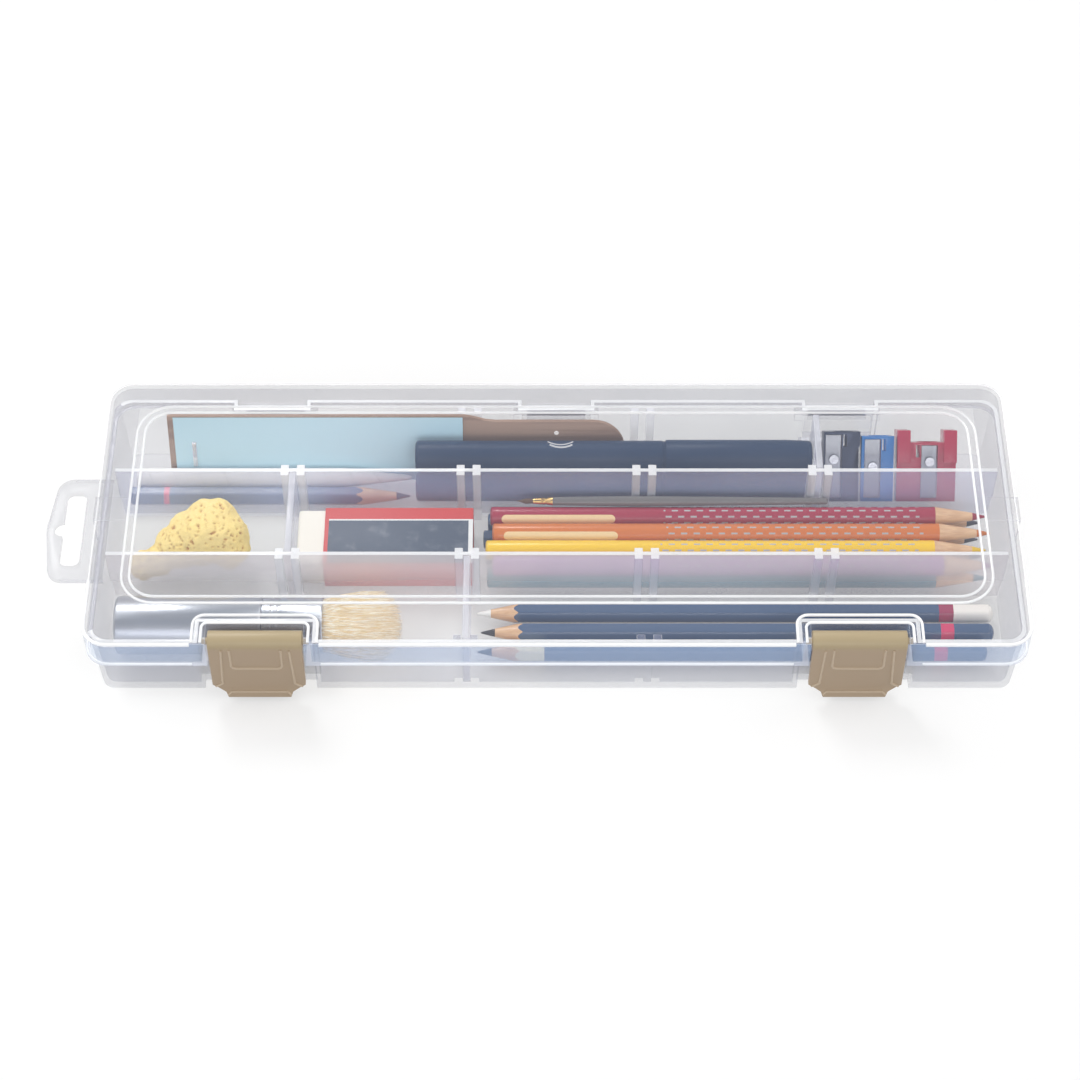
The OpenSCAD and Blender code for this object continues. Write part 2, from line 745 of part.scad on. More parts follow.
module sponge() {
  low = [left_end + 2, rib_middle_low + 0.4, bed + 0.3];
  high = [stations[0] - 12, rib_middle_high - 3.4, bay_wall_top - 2];
  middle = (low + high) / 2;
  size = high - low;
  color([0.93, 0.80, 0.42]) hull($fn = 20) {
    translate([low[0] + 8, middle[1] - 1, low[2] + 8]) sphere(8);
    translate([high[0] - 9, low[1] + 10, low[2] + 9]) sphere(9);
    translate([high[0] - 10, high[1] - 9, low[2] + 9]) sphere(9);
    translate([low[0] + 14, middle[1] + 4, high[2] - 9]) sphere(8);
    translate([middle[0] + 9, high[1] - 9, high[2] - 8]) sphere(8);
    translate([middle[0] - 4, low[1] + 9, low[2] + 9]) sphere(9);
  }
}

eraser_x = stations[0] + divider_thickness / 2 + 0.8;
eraser_y = rib_middle_low + 3;
sleeve_wall = 0.5;
eraser_bare = 9.3;

module eraser_block() {
  color([0.95, 0.93, 0.90])
    block([eraser_x, eraser_y, bed + sleeve_wall],
      [eraser_x + eraser_length, eraser_y + eraser_width, bed + sleeve_wall + eraser_height]);
}

module eraser_sleeve() {
  low = [eraser_x + eraser_bare, eraser_y - sleeve_wall, bed];
  high = [eraser_x + eraser_length + 0.3, eraser_y + eraser_width + sleeve_wall,
    bed + eraser_height + 2 * sleeve_wall];
  color([0.78, 0.22, 0.22]) difference() {
    block(low, high);
    block([low[0] - cut, eraser_y - bore_gap, bed + sleeve_wall - bore_gap],
      [high[0] + cut, eraser_y + eraser_width + bore_gap, high[2] - sleeve_wall + bore_gap]);
  }
}

// ---- supplies: pencils ----

// Lead along X from a tip at x_tip, len long; way is 1 when the tip points to +X
module lead(x_tip, y, z, len, way) {
  point = 5;
  translate([x_tip, y, z]) rotate([0, -90 * way, 0]) {
    cylinder(h = point, r1 = 0.3, r2 = lead_radius);
    translate([0, 0, point]) cylinder(h = len - point - 1.5, r = lead_radius);
  }
}

// Wooden body, bored for its lead; sides of 6 make a hexagon
module pencil_body(x_tip, y, z, len, r, cone, way, sides) {
  start = 5;
  translate([x_tip, y, z]) rotate([0, -90 * way, 0]) difference() {
    union() {
      translate([0, 0, start]) cylinder(h = cone - start, r1 = lead_radius + 0.15, r2 = r * 0.86);
      translate([0, 0, cone]) rotate(180 / sides) cylinder(h = len - cone, r = r, $fn = sides);
    }
    translate([0, 0, -cut]) cylinder(h = len - 1 + cut, r = lead_radius + bore_gap);
  }
}

// Coloured pencils lie in the upper layer with their tips to the right
colour_ys = [red_y, red_y - pencil_pitch, red_y - 2 * pencil_pitch, row_end_y, row_end_y];
colour_zs = [high_z, high_z, high_z, teal_z + pencil_radius * 2 + 0.2, teal_z];
colour_tips = [colour_x, colour_x + 0.8, colour_x - 1.5, colour_x + 1, colour_x - 1];

module coloured_pencil(i) {
  pencil_body(colour_tips[i], colour_ys[i], colour_zs[i], pencil_length, pencil_radius,
    cone_length, 1, 48);
}
module pencil_red() { color([0.72, 0.16, 0.25]) coloured_pencil(0); }
module pencil_orange() { color([0.93, 0.45, 0.14]) coloured_pencil(1); }
module pencil_yellow() { color([0.98, 0.80, 0.20]) coloured_pencil(2); }
module pencil_violet() { color([0.55, 0.35, 0.60]) coloured_pencil(3); }
module pencil_teal() { color([0.20, 0.50, 0.50]) coloured_pencil(4); }
module coloured_leads() {
  color([0.8, 0.4, 0.3]) for (i = [0:4])
    lead(colour_tips[i], colour_ys[i], colour_zs[i], pencil_length, 1);
}

// Graphite pencils: one behind the rear wall, three under the coloured ones
under_y = red_y + under_shift;
graphite_ys = [back_pencil_y, under_y, under_y - pencil_pitch, under_y - 2 * pencil_pitch];
graphite_tips = [pen_end - pen_length - 2, colour_x - 1, colour_x - 2.5, colour_x - 1.6];
graphite_lengths = [back_pencil_length, pencil_length, pencil_length, pencil_length];

module graphite_pencil(i) {
  color([0.15, 0.20, 0.32]) pencil_body(graphite_tips[i], graphite_ys[i], low_z,
    graphite_lengths[i], hex_radius, graphite_cone, 1, 6);
}
module graphite_pencil_back() { graphite_pencil(0); }
module graphite_pencil_a() { graphite_pencil(1); }
module graphite_pencil_b() { graphite_pencil(2); }
module graphite_pencil_c() { graphite_pencil(3); }
module graphite_leads() {
  color([0.25, 0.25, 0.27]) for (i = [0:3])
    lead(graphite_tips[i], graphite_ys[i], low_z, graphite_lengths[i], 1);
}

// Chalk and charcoal pencils in the front bay, tips to the left
chalk_first_y = rib_front_high - 6.9;
chalk_pitch = 8.1;
chalk_ys = [for (i = [0:2]) chalk_first_y - i * chalk_pitch];
chalk_x = stations[1] + divider_thickness / 2 + 1.9;
chalk_tips = [chalk_x, chalk_x + 1.5, chalk_x + 0.5];
chalk_cone = 15;
chalk_lengths = [for (i = [0:2]) drawing_pencil_length - 2 * i];
module chalk_pencil(i) {
  pencil_body(chalk_tips[i], chalk_ys[i], low_z, chalk_lengths[i], hex_radius, chalk_cone, -1, 6);
}
module white_chalk_pencil() { color([0.14, 0.18, 0.30]) chalk_pencil(0); }
module charcoal_pencil_a() { color([0.14, 0.18, 0.30]) chalk_pencil(1); }
module charcoal_pencil_b() { color([0.14, 0.18, 0.30]) chalk_pencil(2); }
module chalk_leads() {
  color([0.9, 0.9, 0.9]) for (i = [0:2])
    lead(chalk_tips[i], chalk_ys[i], low_z, chalk_lengths[i], -1);
}

// ---- supplies: brushes ----

// The detail brush lies behind the red pencil, on its shoulder
detail_z = high_z + 3.95;
detail_y = red_y + 3.9;
detail_inset = 9;                                 // its hair, in from the pencils' ends
detail_start = colour_x - pencil_length + detail_inset;
detail_neck = detail_start + detail_hair;         // where the hair leaves the ferrule
detail_joint = detail_neck + detail_ferrule;      // where the ferrule holds the handle
detail_belly = detail_joint + 27;                 // thickest place of the handle
detail_radius = 1.9;
module detail_brush_tip() {
  color([0.35, 0.22, 0.15]) rod_cone(detail_start, detail_neck, detail_y, detail_z, 0.2, 0.9);
}
module detail_brush_ferrule() {
  color([0.85, 0.70, 0.40]) rod_cone(detail_neck, detail_joint, detail_y, detail_z, 1, 1.6);
}
module detail_brush_handle() {
  color([0.45, 0.42, 0.42]) {
    rod_cone(detail_joint, detail_belly, detail_y, detail_z, 1.6, detail_radius);
    rod_cone(detail_belly, detail_start + detail_length, detail_y, detail_z, detail_radius, 1.2);
  }
}

// The blending brush lies on the floor of the front bay's left end
blender_front = 16.7;                             // forward of the fore wall's ribs
blender_y = rib_front_high - blender_front;
blender_z = bed + blender_radius;
blender_start = left_end + 2.6;
blender_seam = blender_start + blender_handle;
blender_mouth = blender_seam + blender_ferrule;
blender_tip = blender_mouth + blender_bristle;
module blender_brush_handle() {
  color([0.72, 0.73, 0.75]) {
    rod_cone(blender_start, blender_start + 1, blender_y, blender_z, blender_radius - 1, blender_radius);
    rod(blender_start + 1, blender_seam, blender_y, blender_z, blender_radius);
  }
}
module blender_brush_ferrule() {
  color([0.78, 0.79, 0.81])
    rod(blender_seam, blender_mouth, blender_y, blender_z, blender_radius - 0.3);
}
module blender_brush_bristles() {
  color([0.93, 0.88, 0.75]) {
    rod_cone(blender_mouth, blender_tip - 6, blender_y, blender_z,
      blender_radius - 1.4, blender_radius - 0.7);
    rod_cone(blender_tip - 6, blender_tip, blender_y, blender_z,
      blender_radius - 0.7, blender_radius - 3);
  }
}

base_tray();
lid();
latch_left();
latch_right();
divider_back();
divider_middle();
divider_front();
paddle_board();
paddle_paper();
paddle_staple();
upper_pen_barrel();
upper_pen_cap();
lower_pen_barrel();
lower_pen_cap();
blending_stump();
metal_sharpener();
blue_sharpener();
red_sharpener();
sharpener_blades();
sharpener_screws();
sponge();
eraser_block();
eraser_sleeve();
detail_brush_handle();
detail_brush_ferrule();
detail_brush_tip();
pencil_red();
pencil_orange();
pencil_yellow();
pencil_violet();
pencil_teal();
coloured_leads();
graphite_pencil_back();
graphite_pencil_a();
graphite_pencil_b();
graphite_pencil_c();
graphite_leads();
white_chalk_pencil();
charcoal_pencil_a();
charcoal_pencil_b();
chalk_leads();
blender_brush_handle();
blender_brush_ferrule();
blender_brush_bristles();
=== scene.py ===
"""Looks of the slim art supply box: clear moulded case, tan latches and the supplies inside."""
import math
import random

import bmesh
import bpy
from mathutils import Matrix, Vector, noise
from mathutils.bvhtree import BVHTree


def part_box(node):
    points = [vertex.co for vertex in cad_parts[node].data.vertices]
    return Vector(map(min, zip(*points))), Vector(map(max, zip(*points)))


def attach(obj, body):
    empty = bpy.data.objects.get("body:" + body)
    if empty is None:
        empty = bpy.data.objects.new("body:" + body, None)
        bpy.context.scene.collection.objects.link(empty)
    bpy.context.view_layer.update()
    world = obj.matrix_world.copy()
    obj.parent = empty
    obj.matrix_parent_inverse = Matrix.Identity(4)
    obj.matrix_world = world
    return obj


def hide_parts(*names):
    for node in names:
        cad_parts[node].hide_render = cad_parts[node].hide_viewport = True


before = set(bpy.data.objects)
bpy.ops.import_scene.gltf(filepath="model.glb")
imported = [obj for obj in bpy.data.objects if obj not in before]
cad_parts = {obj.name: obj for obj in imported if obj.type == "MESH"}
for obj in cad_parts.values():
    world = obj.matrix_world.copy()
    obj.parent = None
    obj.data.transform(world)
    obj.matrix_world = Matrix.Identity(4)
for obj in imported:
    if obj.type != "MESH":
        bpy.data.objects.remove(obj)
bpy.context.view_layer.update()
MM = 0.001


# ---- camera, light and floor ----

CAMERA_SPOT, CAMERA_AIM = (-5.78, -574.3, 775.2), (-5.78, 2.34, 10)  # mm
CAMERA_SENSOR, CAMERA_LENS = 36, 90.88

# Place, aim and size in metres, and power in watts
LAMPS = {
    "softbox_left": ((-0.9, 0.35, 0.95), (0, 0, 0), (1.1, 1.1), 5.2),
    "softbox_right": ((0.95, 0.15, 0.95), (0, 0, 0), (1.0, 1.0), 4.0),
    "softbox_front": ((0, -1.1, 0.5), (0, 0, 0.01), (1.3, 0.5), 4.0),
    "key": ((-0.35, 0.75, 0.95), (0, 0, 0), (0.35, 0.35), 4.5),
}
WORLD_LIGHT = 0.6
CEILING_COLOUR, CEILING_LIGHT = (0.80, 0.88, 1), 0.5
CEILING_START, CEILING_FULL = 0.35, 0.92  # how steeply up a reflection looks, from 0 to 1
FLOOR_HALF, FLOOR_DROP = 2.5, 0.0002      # metres
FLOOR_COLOUR, FLOOR_GLOW = (0.42, 0.42, 0.42), 0.52


def make_camera():
    data = bpy.data.cameras.new("camera")
    data.sensor_width = CAMERA_SENSOR
    data.lens = CAMERA_LENS
    camera = bpy.data.objects.new("camera", data)
    bpy.context.scene.collection.objects.link(camera)
    target = Vector(CAMERA_AIM) * MM
    camera.location = Vector(CAMERA_SPOT) * MM
    camera.rotation_euler = (target - camera.location).to_track_quat("-Z", "Y").to_euler()
    bpy.context.scene.camera = camera


def make_lamps():
    for name, (place, aim, size, watts) in LAMPS.items():
        data = bpy.data.lights.new(name, "AREA")
        data.shape = "RECTANGLE"
        data.size, data.size_y = size
        data.energy = watts
        lamp = bpy.data.objects.new(name, data)
        lamp.location = place
        lamp.rotation_euler = (Vector(aim) - Vector(place)).to_track_quat("-Z", "Y").to_euler()
        bpy.context.scene.collection.objects.link(lamp)


def seen_directly(tree):
    """1 where the camera, a reflection or a refraction looks straight at a surface."""
    path = tree.nodes.new("ShaderNodeLightPath")
    seen = Shade(tree, path.outputs["Is Camera Ray"])
    for ray in ("Is Glossy Ray", "Is Transmission Ray"):
        seen = seen.math("MAXIMUM", Shade(tree, path.outputs[ray]))
    return seen


def mixed_shaders(tree, factor, first, second):
    """The second shader where factor is 1, and the first where it is 0."""
    mix = tree.nodes.new("ShaderNodeMixShader")
    for slot, socket in zip(mix.inputs, (factor.socket, first, second)):
        tree.links.new(socket, slot)
    return mix.outputs[0]


def background(tree, colour, strength):
    node = tree.nodes.new("ShaderNodeBackground")
    node.inputs["Color"].default_value = (*colour, 1)
    node.inputs["Strength"].default_value = strength
    return node.outputs[0]


def make_world():
    """White where it is seen directly; reflections see a ceiling darker than the walls round it."""
    world = bpy.data.worlds.new("studio")
    world.use_nodes = True
    tree = world.node_tree
    tree.nodes.clear()
    white = (1, 1, 1)
    walls = mixed_shaders(tree, seen_directly(tree), background(tree, white, WORLD_LIGHT),
                          background(tree, white, 1.0))
    coordinates = tree.nodes.new("ShaderNodeTexCoord")
    split = tree.nodes.new("ShaderNodeSeparateXYZ")
    tree.links.new(coordinates.outputs["Generated"], split.inputs[0])
    path = tree.nodes.new("ShaderNodeLightPath")
    overhead = Shade(tree, split.outputs["Z"]).smooth(CEILING_START, CEILING_FULL)
    overhead = overhead * Shade(tree, path.outputs["Is Glossy Ray"])
    out = tree.nodes.new("ShaderNodeOutputWorld")
    ceiling = background(tree, CEILING_COLOUR, CEILING_LIGHT)
    tree.links.new(mixed_shaders(tree, overhead, walls, ceiling), out.inputs["Surface"])
    bpy.context.scene.world = world


def make_floor():
    """A pale floor that shows white where it is seen directly, and keeps the shadows."""
    bm = bmesh.new()
    bmesh.ops.create_grid(bm, x_segments=1, y_segments=1, size=FLOOR_HALF)
    floor = object_of("floor", bm)
    floor.location = (0, 0, -FLOOR_DROP)
    material = bpy.data.materials.new("pale_floor")
    material.use_nodes = True
    tree = material.node_tree
    tree.nodes.clear()
    diffuse = tree.nodes.new("ShaderNodeBsdfDiffuse")
    diffuse.inputs["Color"].default_value = (*FLOOR_COLOUR, 1)
    glow = tree.nodes.new("ShaderNodeEmission")
    glow.inputs["Strength"].default_value = FLOOR_GLOW
    add = tree.nodes.new("ShaderNodeAddShader")
    tree.links.new(glow.outputs[0], add.inputs[0])
    tree.links.new(diffuse.outputs[0], add.inputs[1])
    out = tree.nodes.new("ShaderNodeOutputMaterial")
    tree.links.new(mixed_shaders(tree, seen_directly(tree), diffuse.outputs[0], add.outputs[0]),
                   out.inputs["Surface"])
    floor.data.materials.append(material)


# ---- shader helpers ----

class Shade:
    """One value in a node tree, joined to others by plain arithmetic."""

    def __init__(self, tree, socket):
        self.tree = tree
        self.socket = socket

    def math(self, operation, *others):
        node = self.tree.nodes.new("ShaderNodeMath")
        node.operation = operation
        for slot, value in zip(node.inputs, (self, *others)):
            if isinstance(value, Shade):
                self.tree.links.new(value.socket, slot)
            else:
                slot.default_value = value
        return Shade(self.tree, node.outputs[0])

    def __add__(self, other):
        return self.math("ADD", other)

    def __sub__(self, other):
        return self.math("SUBTRACT", other)

    def __mul__(self, other):
        return self.math("MULTIPLY", other)

    def __truediv__(self, other):
        return self.math("DIVIDE", other)

    def __gt__(self, other):
        return self.math("GREATER_THAN", other)

    def __lt__(self, other):
        return self.math("LESS_THAN", other)

    def sqrt(self):
        return self.math("SQRT")

    def abs(self):
        return self.math("ABSOLUTE")

    def between(self, low, high):
        return (self > low) * (self < high)

    def smooth(self, low, high):
        """0 at low and 1 at high, with a soft step between."""
        node = self.tree.nodes.new("ShaderNodeMapRange")
        node.interpolation_type = "SMOOTHSTEP"
        node.inputs["From Min"].default_value = low
        node.inputs["From Max"].default_value = high
        self.tree.links.new(self.socket, node.inputs["Value"])
        return Shade(self.tree, node.outputs["Result"])


class Finish:
    """A Principled material, with Object coordinates centred on one point of its piece."""

    def __init__(self, name, colour, roughness, centre=(0, 0, 0), turn=(0, 0, 0)):
        self.material = bpy.data.materials.new(name)
        self.material.use_nodes = True
        self.tree = self.material.node_tree
        self.shader = self.tree.nodes["Principled BSDF"]
        self.shader.inputs["Base Color"].default_value = (*colour, 1)
        self.shader.inputs["Roughness"].default_value = roughness
        self.colour = colour
        self.colour_socket = None
        coordinates = self.tree.nodes.new("ShaderNodeTexCoord")
        mapping = self.tree.nodes.new("ShaderNodeMapping")
        mapping.vector_type = "TEXTURE"
        mapping.inputs["Location"].default_value = centre
        mapping.inputs["Rotation"].default_value = turn
        self.tree.links.new(coordinates.outputs["Object"], mapping.inputs["Vector"])
        self.point = mapping.outputs["Vector"]

    def set(self, **values):
        for name, value in values.items():
            self.shader.inputs[name.replace("_", " ")].default_value = value
        return self

    def axes(self):
        split = self.tree.nodes.new("ShaderNodeSeparateXYZ")
        self.tree.links.new(self.point, split.inputs[0])
        return [Shade(self.tree, split.outputs[i]) for i in range(3)]

    def noise(self, scale, detail=3, stretch=(1, 1, 1), roughness=0.5):
        mapping = self.tree.nodes.new("ShaderNodeMapping")
        mapping.inputs["Scale"].default_value = stretch
        texture = self.tree.nodes.new("ShaderNodeTexNoise")
        texture.inputs["Scale"].default_value = scale
        texture.inputs["Detail"].default_value = detail
        texture.inputs["Roughness"].default_value = roughness
        self.tree.links.new(self.point, mapping.inputs["Vector"])
        self.tree.links.new(mapping.outputs["Vector"], texture.inputs["Vector"])
        return Shade(self.tree, texture.outputs["Fac"])

    def paint(self, factor, colour):
        """Lays colour over what is there, where factor is 1."""
        mix = self.tree.nodes.new("ShaderNodeMix")
        mix.data_type = "RGBA"
        self.tree.links.new(factor.socket, mix.inputs["Factor"])
        if self.colour_socket is None:
            mix.inputs["A"].default_value = (*self.colour, 1)
        else:
            self.tree.links.new(self.colour_socket, mix.inputs["A"])
        mix.inputs["B"].default_value = (*colour, 1)
        self.colour_socket = mix.outputs["Result"]
        self.tree.links.new(self.colour_socket, self.shader.inputs["Base Color"])
        return self

    def drive(self, name, value):
        self.tree.links.new(value.socket, self.shader.inputs[name])
        return self

    def bump(self, height, distance, strength=1.0):
        node = self.tree.nodes.new("ShaderNodeBump")
        node.inputs["Strength"].default_value = strength
        node.inputs["Distance"].default_value = distance
        self.tree.links.new(height.socket, node.inputs["Height"])
        self.tree.links.new(node.outputs["Normal"], self.shader.inputs["Normal"])
        return self

    def grained(self, scale, depth, strength=1.0, detail=2):
        """Fine bumps; depth is in mm."""
        return self.bump(self.noise(scale, detail), depth * MM, strength)


# ---- mesh helpers ----

BODY, LID = "base", "lid"
SHARP = 35  # degrees between the faces of an edge that counts as sharp


def object_of(name, bm):
    """Moves a shape into a new object of the scene."""
    mesh = bpy.data.meshes.new(name)
    bm.to_mesh(mesh)
    bm.free()
    thing = bpy.data.objects.new(name, mesh)
    bpy.context.scene.collection.objects.link(thing)
    return thing


def modified_shape(holder):
    """The shape that an object has after its modifiers."""
    evaluated = holder.evaluated_get(bpy.context.evaluated_depsgraph_get())
    bm = bmesh.new()
    bm.from_mesh(evaluated.to_mesh())
    return bm


def finish_piece(name, bm, finishes, body, replaces=(), smooth=40):
    """Makes the shape an object at the origin that rides on body."""
    piece = object_of(name, bm)
    piece.data.shade_smooth()
    piece.data.set_sharp_from_angle(angle=math.radians(smooth))
    for finish in finishes:
        piece.data.materials.append(finish.material)
    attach(piece, body)
    if replaces:
        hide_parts(*replaces)
    return piece


def merged_copy(node):
    """A node's mesh with its doubles merged and its flat faces joined."""
    bm = bmesh.new()
    bm.from_mesh(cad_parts[node].data)
    bmesh.ops.remove_doubles(bm, verts=bm.verts, dist=0.02 * MM)
    bmesh.ops.dissolve_limit(bm, angle_limit=math.radians(0.5), verts=bm.verts, edges=bm.edges)
    return bm


def add_mesh(bm, other):
    """Moves all of another shape into bm."""
    mesh = bpy.data.meshes.new("part")
    other.to_mesh(mesh)
    other.free()
    bm.from_mesh(mesh)
    bpy.data.meshes.remove(mesh)


def is_sharp(edge, angle):
    return len(edge.link_faces) == 2 and edge.calc_face_angle(0) > math.radians(angle)


def round_edges(bm, width, segments=2, angle=SHARP, edge_material=-1):
    """Rounds every edge sharper than angle; the new faces may take a material of their own."""
    made = bmesh.ops.bevel(bm, geom=[e for e in bm.edges if is_sharp(e, angle)], offset=width,
                           offset_type="OFFSET", affect="EDGES", segments=segments, profile=0.5,
                           material=-1, clamp_overlap=True)
    if edge_material >= 0:
        for face in made["faces"]:
            face.material_index = edge_material


def extruded(points, lift):
    """A closed solid between a flat outline and the same outline moved by lift."""
    bm = bmesh.new()
    face = bm.faces.new([bm.verts.new(point) for point in points])
    made = bmesh.ops.extrude_face_region(bm, geom=[face])
    lifted = [g for g in made["geom"] if isinstance(g, bmesh.types.BMVert)]
    bmesh.ops.translate(bm, verts=lifted, vec=lift)
    bmesh.ops.recalc_face_normals(bm, faces=bm.faces)
    return bm


def lathe(profile, y, z, steps=48):
    """A closed solid turned about the X axis through (y, z) from (x, radius) pairs."""
    bm = bmesh.new()
    verts = [bm.verts.new((x, y, z + radius)) for x, radius in profile]
    edges = [bm.edges.new(pair) for pair in zip(verts, verts[1:])]
    bmesh.ops.spin(bm, geom=verts + edges, cent=(0, y, z), axis=(1, 0, 0), angle=math.tau,
                   steps=steps, use_merge=True)
    bmesh.ops.remove_doubles(bm, verts=bm.verts, dist=0.004 * MM)
    bmesh.ops.recalc_face_normals(bm, faces=bm.faces)
    return bm


def rounded_end(x, radius, corner, way, steps=4):
    """Profile points of a rounded end at x, from its pole out; way is 1 where the solid is on the +X side."""
    points = [(x, 0.0)]
    for i in range(steps + 1):
        turn = math.pi / 2 * i / steps
        points.append((x + way * corner * (1 - math.cos(turn)), radius - corner * (1 - math.sin(turn))))
    return points


def points_from(x, *steps):
    """Profile points at distances in mm from x, each with its radius."""
    return [(x + along * MM, radius) for along, radius in steps]


def add_tube(bm, points, radius, sides=6, closed=False, material=0):
    """Adds a thin round bead along points to bm."""
    curve = bpy.data.curves.new("bead", "CURVE")
    curve.dimensions = "3D"
    curve.bevel_depth = radius
    curve.bevel_resolution = max(0, sides // 2 - 2)
    curve.use_fill_caps = True
    spline = curve.splines.new("POLY")
    spline.points.add(len(points) - 1)
    for slot, point in zip(spline.points, points):
        slot.co = (*point, 1)
    spline.use_cyclic_u = closed
    holder = bpy.data.objects.new("bead", curve)
    mesh = bpy.data.meshes.new_from_object(holder)
    known = set(bm.faces)
    bm.from_mesh(mesh)
    for face in bm.faces:
        if face not in known:
            face.material_index = material
    bpy.data.objects.remove(holder)
    bpy.data.curves.remove(curve)
    bpy.data.meshes.remove(mesh)


def centre_of(node):
    low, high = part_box(node)
    return (low + high) / 2


def turned_piece(name, profile, finish, node, axis_node, steps=48):
    """Replaces node by a shape turned about the long axis of axis_node."""
    middle = centre_of(axis_node)
    finish_piece(name, lathe(profile, middle.y, middle.z, steps), [finish], BODY, [node])


# ---- case ----

# Colours of the clear plastic, from its darkest walls to its brightest ribs; the last is the white of the
# painted highlights on its edges
SHADY = (0.33, 0.335, 0.39)
BLUISH = (0.33, 0.36, 0.52)
FLOOR_GREY = (0.42, 0.42, 0.41)
FAINT = (0.50, 0.51, 0.60)
SKIRT_BLUE = (0.52, 0.70, 1.0)
MILK = (0.57, 0.61, 0.84)
LID_BLUE = (0.60, 0.66, 0.80)
WALL_BLUE = (0.62, 0.68, 1.0)
RIB = (0.78, 0.79, 0.87)
CREAMY = (0.84, 0.80, 0.84)
HIGHLIGHT_WHITE = (0.97, 0.98, 1.0)

# Places on the moulding and sizes of its fine lines of painted highlight, in mm
FRONT_FADE = (-34, -44)                      # where the painted highlight on the lid's edges grows brighter towards the front
PANEL_X, PANEL_BACK, PANEL_LOW = 147.7, 46, 30.3    # the lid's clear middle ends here
HINGE_FRONT, HINGE_BACK = 49, 55.2
SKIRT_LOW, SKIRT_HIGH, SKIRT_FRONT = 19.6, 29.5, -54
BEAD_X, BEAD_FRONT, BEAD_BACK, BEAD_CORNER = 147.6, -40.0, 45.6, 12
BEAD_WIDTH, BEAD_CORNER_LOSS, BEAD_RADIUS = 2.7, 2.8, 0.48
LID_TOP = 31.1                               # middle height of the lines on the lid
RIM_X, RIM_Y, RIM_CORNER = 150.4, 48.4, 8.2  # middles and radius of the lid's corner lines
RIM_NOTCH, RIM_SIDE = 122.6, -30             # where the rim's lines stop, by a latch and at the side
RIM_GAP, RIM_FRONT = 79.4, -56.6             # half the line between the latches
TOP_RIM = (30.35, 0.36)                      # height and radius of each rim line
FRONT_RIM, SKIRT_FOOT = (30.2, 0.66), (18.95, 0.42)
COLLARS = ((20.9, -45.0, 3.8), (17.9, -48.1, 2.0))  # half width, back and corner round each notch
COLLAR_FRONT, COLLAR_RADIUS = -56.2, 0.5
RIM_HEIGHT = 27                              # what is higher on the tray is its rim or a wall's top
GATE = (33.9, 30.8)                          # y and z of the moulding scar


def glancing(finish, power, most):
    """More plastic in the way where a wall is seen along its length."""
    weight = finish.tree.nodes.new("ShaderNodeLayerWeight")
    weight.inputs["Blend"].default_value = 0.5
    return Shade(finish.tree, weight.outputs["Facing"]).math("POWER", power) * most


def clear_sheet(name, haze, colour, thick=None, thick_haze=0.0, thick_colour=None):
    """Clear moulded plastic with a faint, uneven haze; the zones that thick marks are hazier, and on the
    tray's back bay floor that darker haze is painted shade.
    """
    finish = Finish(name, colour, 0.2)
    amount = finish.noise(28, 2) * 0.3 + 0.85
    alpha = amount * haze
    if thick_colour:
        zone = thick(*finish.axes())
        alpha = amount * (zone * (thick_haze - haze) + haze)
        finish.paint(zone, thick_colour)
    finish.drive("Alpha", alpha + glancing(finish, 4, 0.12))
    return finish.grained(90, 0.04, 0.3)


def clear_edge(name, haze, colour=HIGHLIGHT_WHITE, more_highlight_in_front=0.0):
    """Rounded edges and thin ribs, painted paler and hazier than the sheet as painted highlights where the
    plastic catches the light.
    """
    finish = Finish(name, colour, 0.14)
    alpha = finish.noise(60, 2) * 0.1 + haze
    if more_highlight_in_front:
        start, full = FRONT_FADE
        alpha = alpha + finish.axes()[1].smooth(start * MM, full * MM) * more_highlight_in_front
    return finish.drive("Alpha", alpha)


def is_thin(face, most):
    """A narrow face between sharp edges, such as a rib's side or a wall's top."""
    around = sum(e.calc_length() for e in face.edges)
    sharp = sum(e.calc_length() for e in face.edges if is_sharp(e, SHARP))
    return sharp > 0.6 * around and 2 * face.calc_area() / around < most


def passes_light(piece):
    """Clear plastic scatters light inwards, so it throws no shade on what lies under it."""
    piece.visible_shadow = False
    piece.visible_diffuse = False


def clear_case(name, node, finishes, body, bevel, thin, kind=None, thin_kind=None, edge_kind=None,
               trim=()):
    """A clear moulding with finishes by name.

    From a face's middle in mm, kind names the finish of a special wall, thin_kind that of a narrow
    face and edge_kind that of a rounded edge. The others are "sheet", "rib" and "edge".
    """
    number = {key: index for index, key in enumerate(finishes)}
    bm = merged_copy(node)
    for face in bm.faces:
        spot = face.calc_center_median() / MM
        found = kind(spot) if kind else None
        if not found and is_thin(face, thin):
            found = thin_kind(spot, face.calc_area() / MM ** 2) if thin_kind else "rib"
        face.material_index = number[found or "sheet"]
    round_edges(bm, bevel, edge_material=number["edge"])
    for face in bm.faces:
        if face.material_index == number["edge"] and edge_kind:
            face.material_index = number[edge_kind(face.calc_center_median() / MM)]
    # the trim tubes take the edge finish: painted highlight lines
    for points, radius, closed in trim:
        add_tube(bm, points, radius, sides=8, closed=closed, material=number["edge"])
    passes_light(finish_piece(name, bm, finishes.values(), body, [node]))


def arc_points(x, y, z, radius, start=0.0, end=math.tau, steps=24):
    return [Vector((x + radius * math.cos(start + (end - start) * i / steps),
                    y + radius * math.sin(start + (end - start) * i / steps), z)) * MM
            for i in range(steps + 1)]


def round_rectangle(x0, y0, x1, y1, z, radius, steps=8):
    """Points round a rectangle with round corners, in mm."""
    points = []
    for x, y, turn in ((x1 - radius, y1 - radius, 0), (x0 + radius, y1 - radius, 1),
                       (x0 + radius, y0 + radius, 2), (x1 - radius, y0 + radius, 3)):
        points += arc_points(x, y, z, radius, turn * math.pi / 2, (turn + 1) * math.pi / 2, steps)
    return points


def mirrored(points):
    return [Vector((-point.x, point.y, point.z)) for point in points]


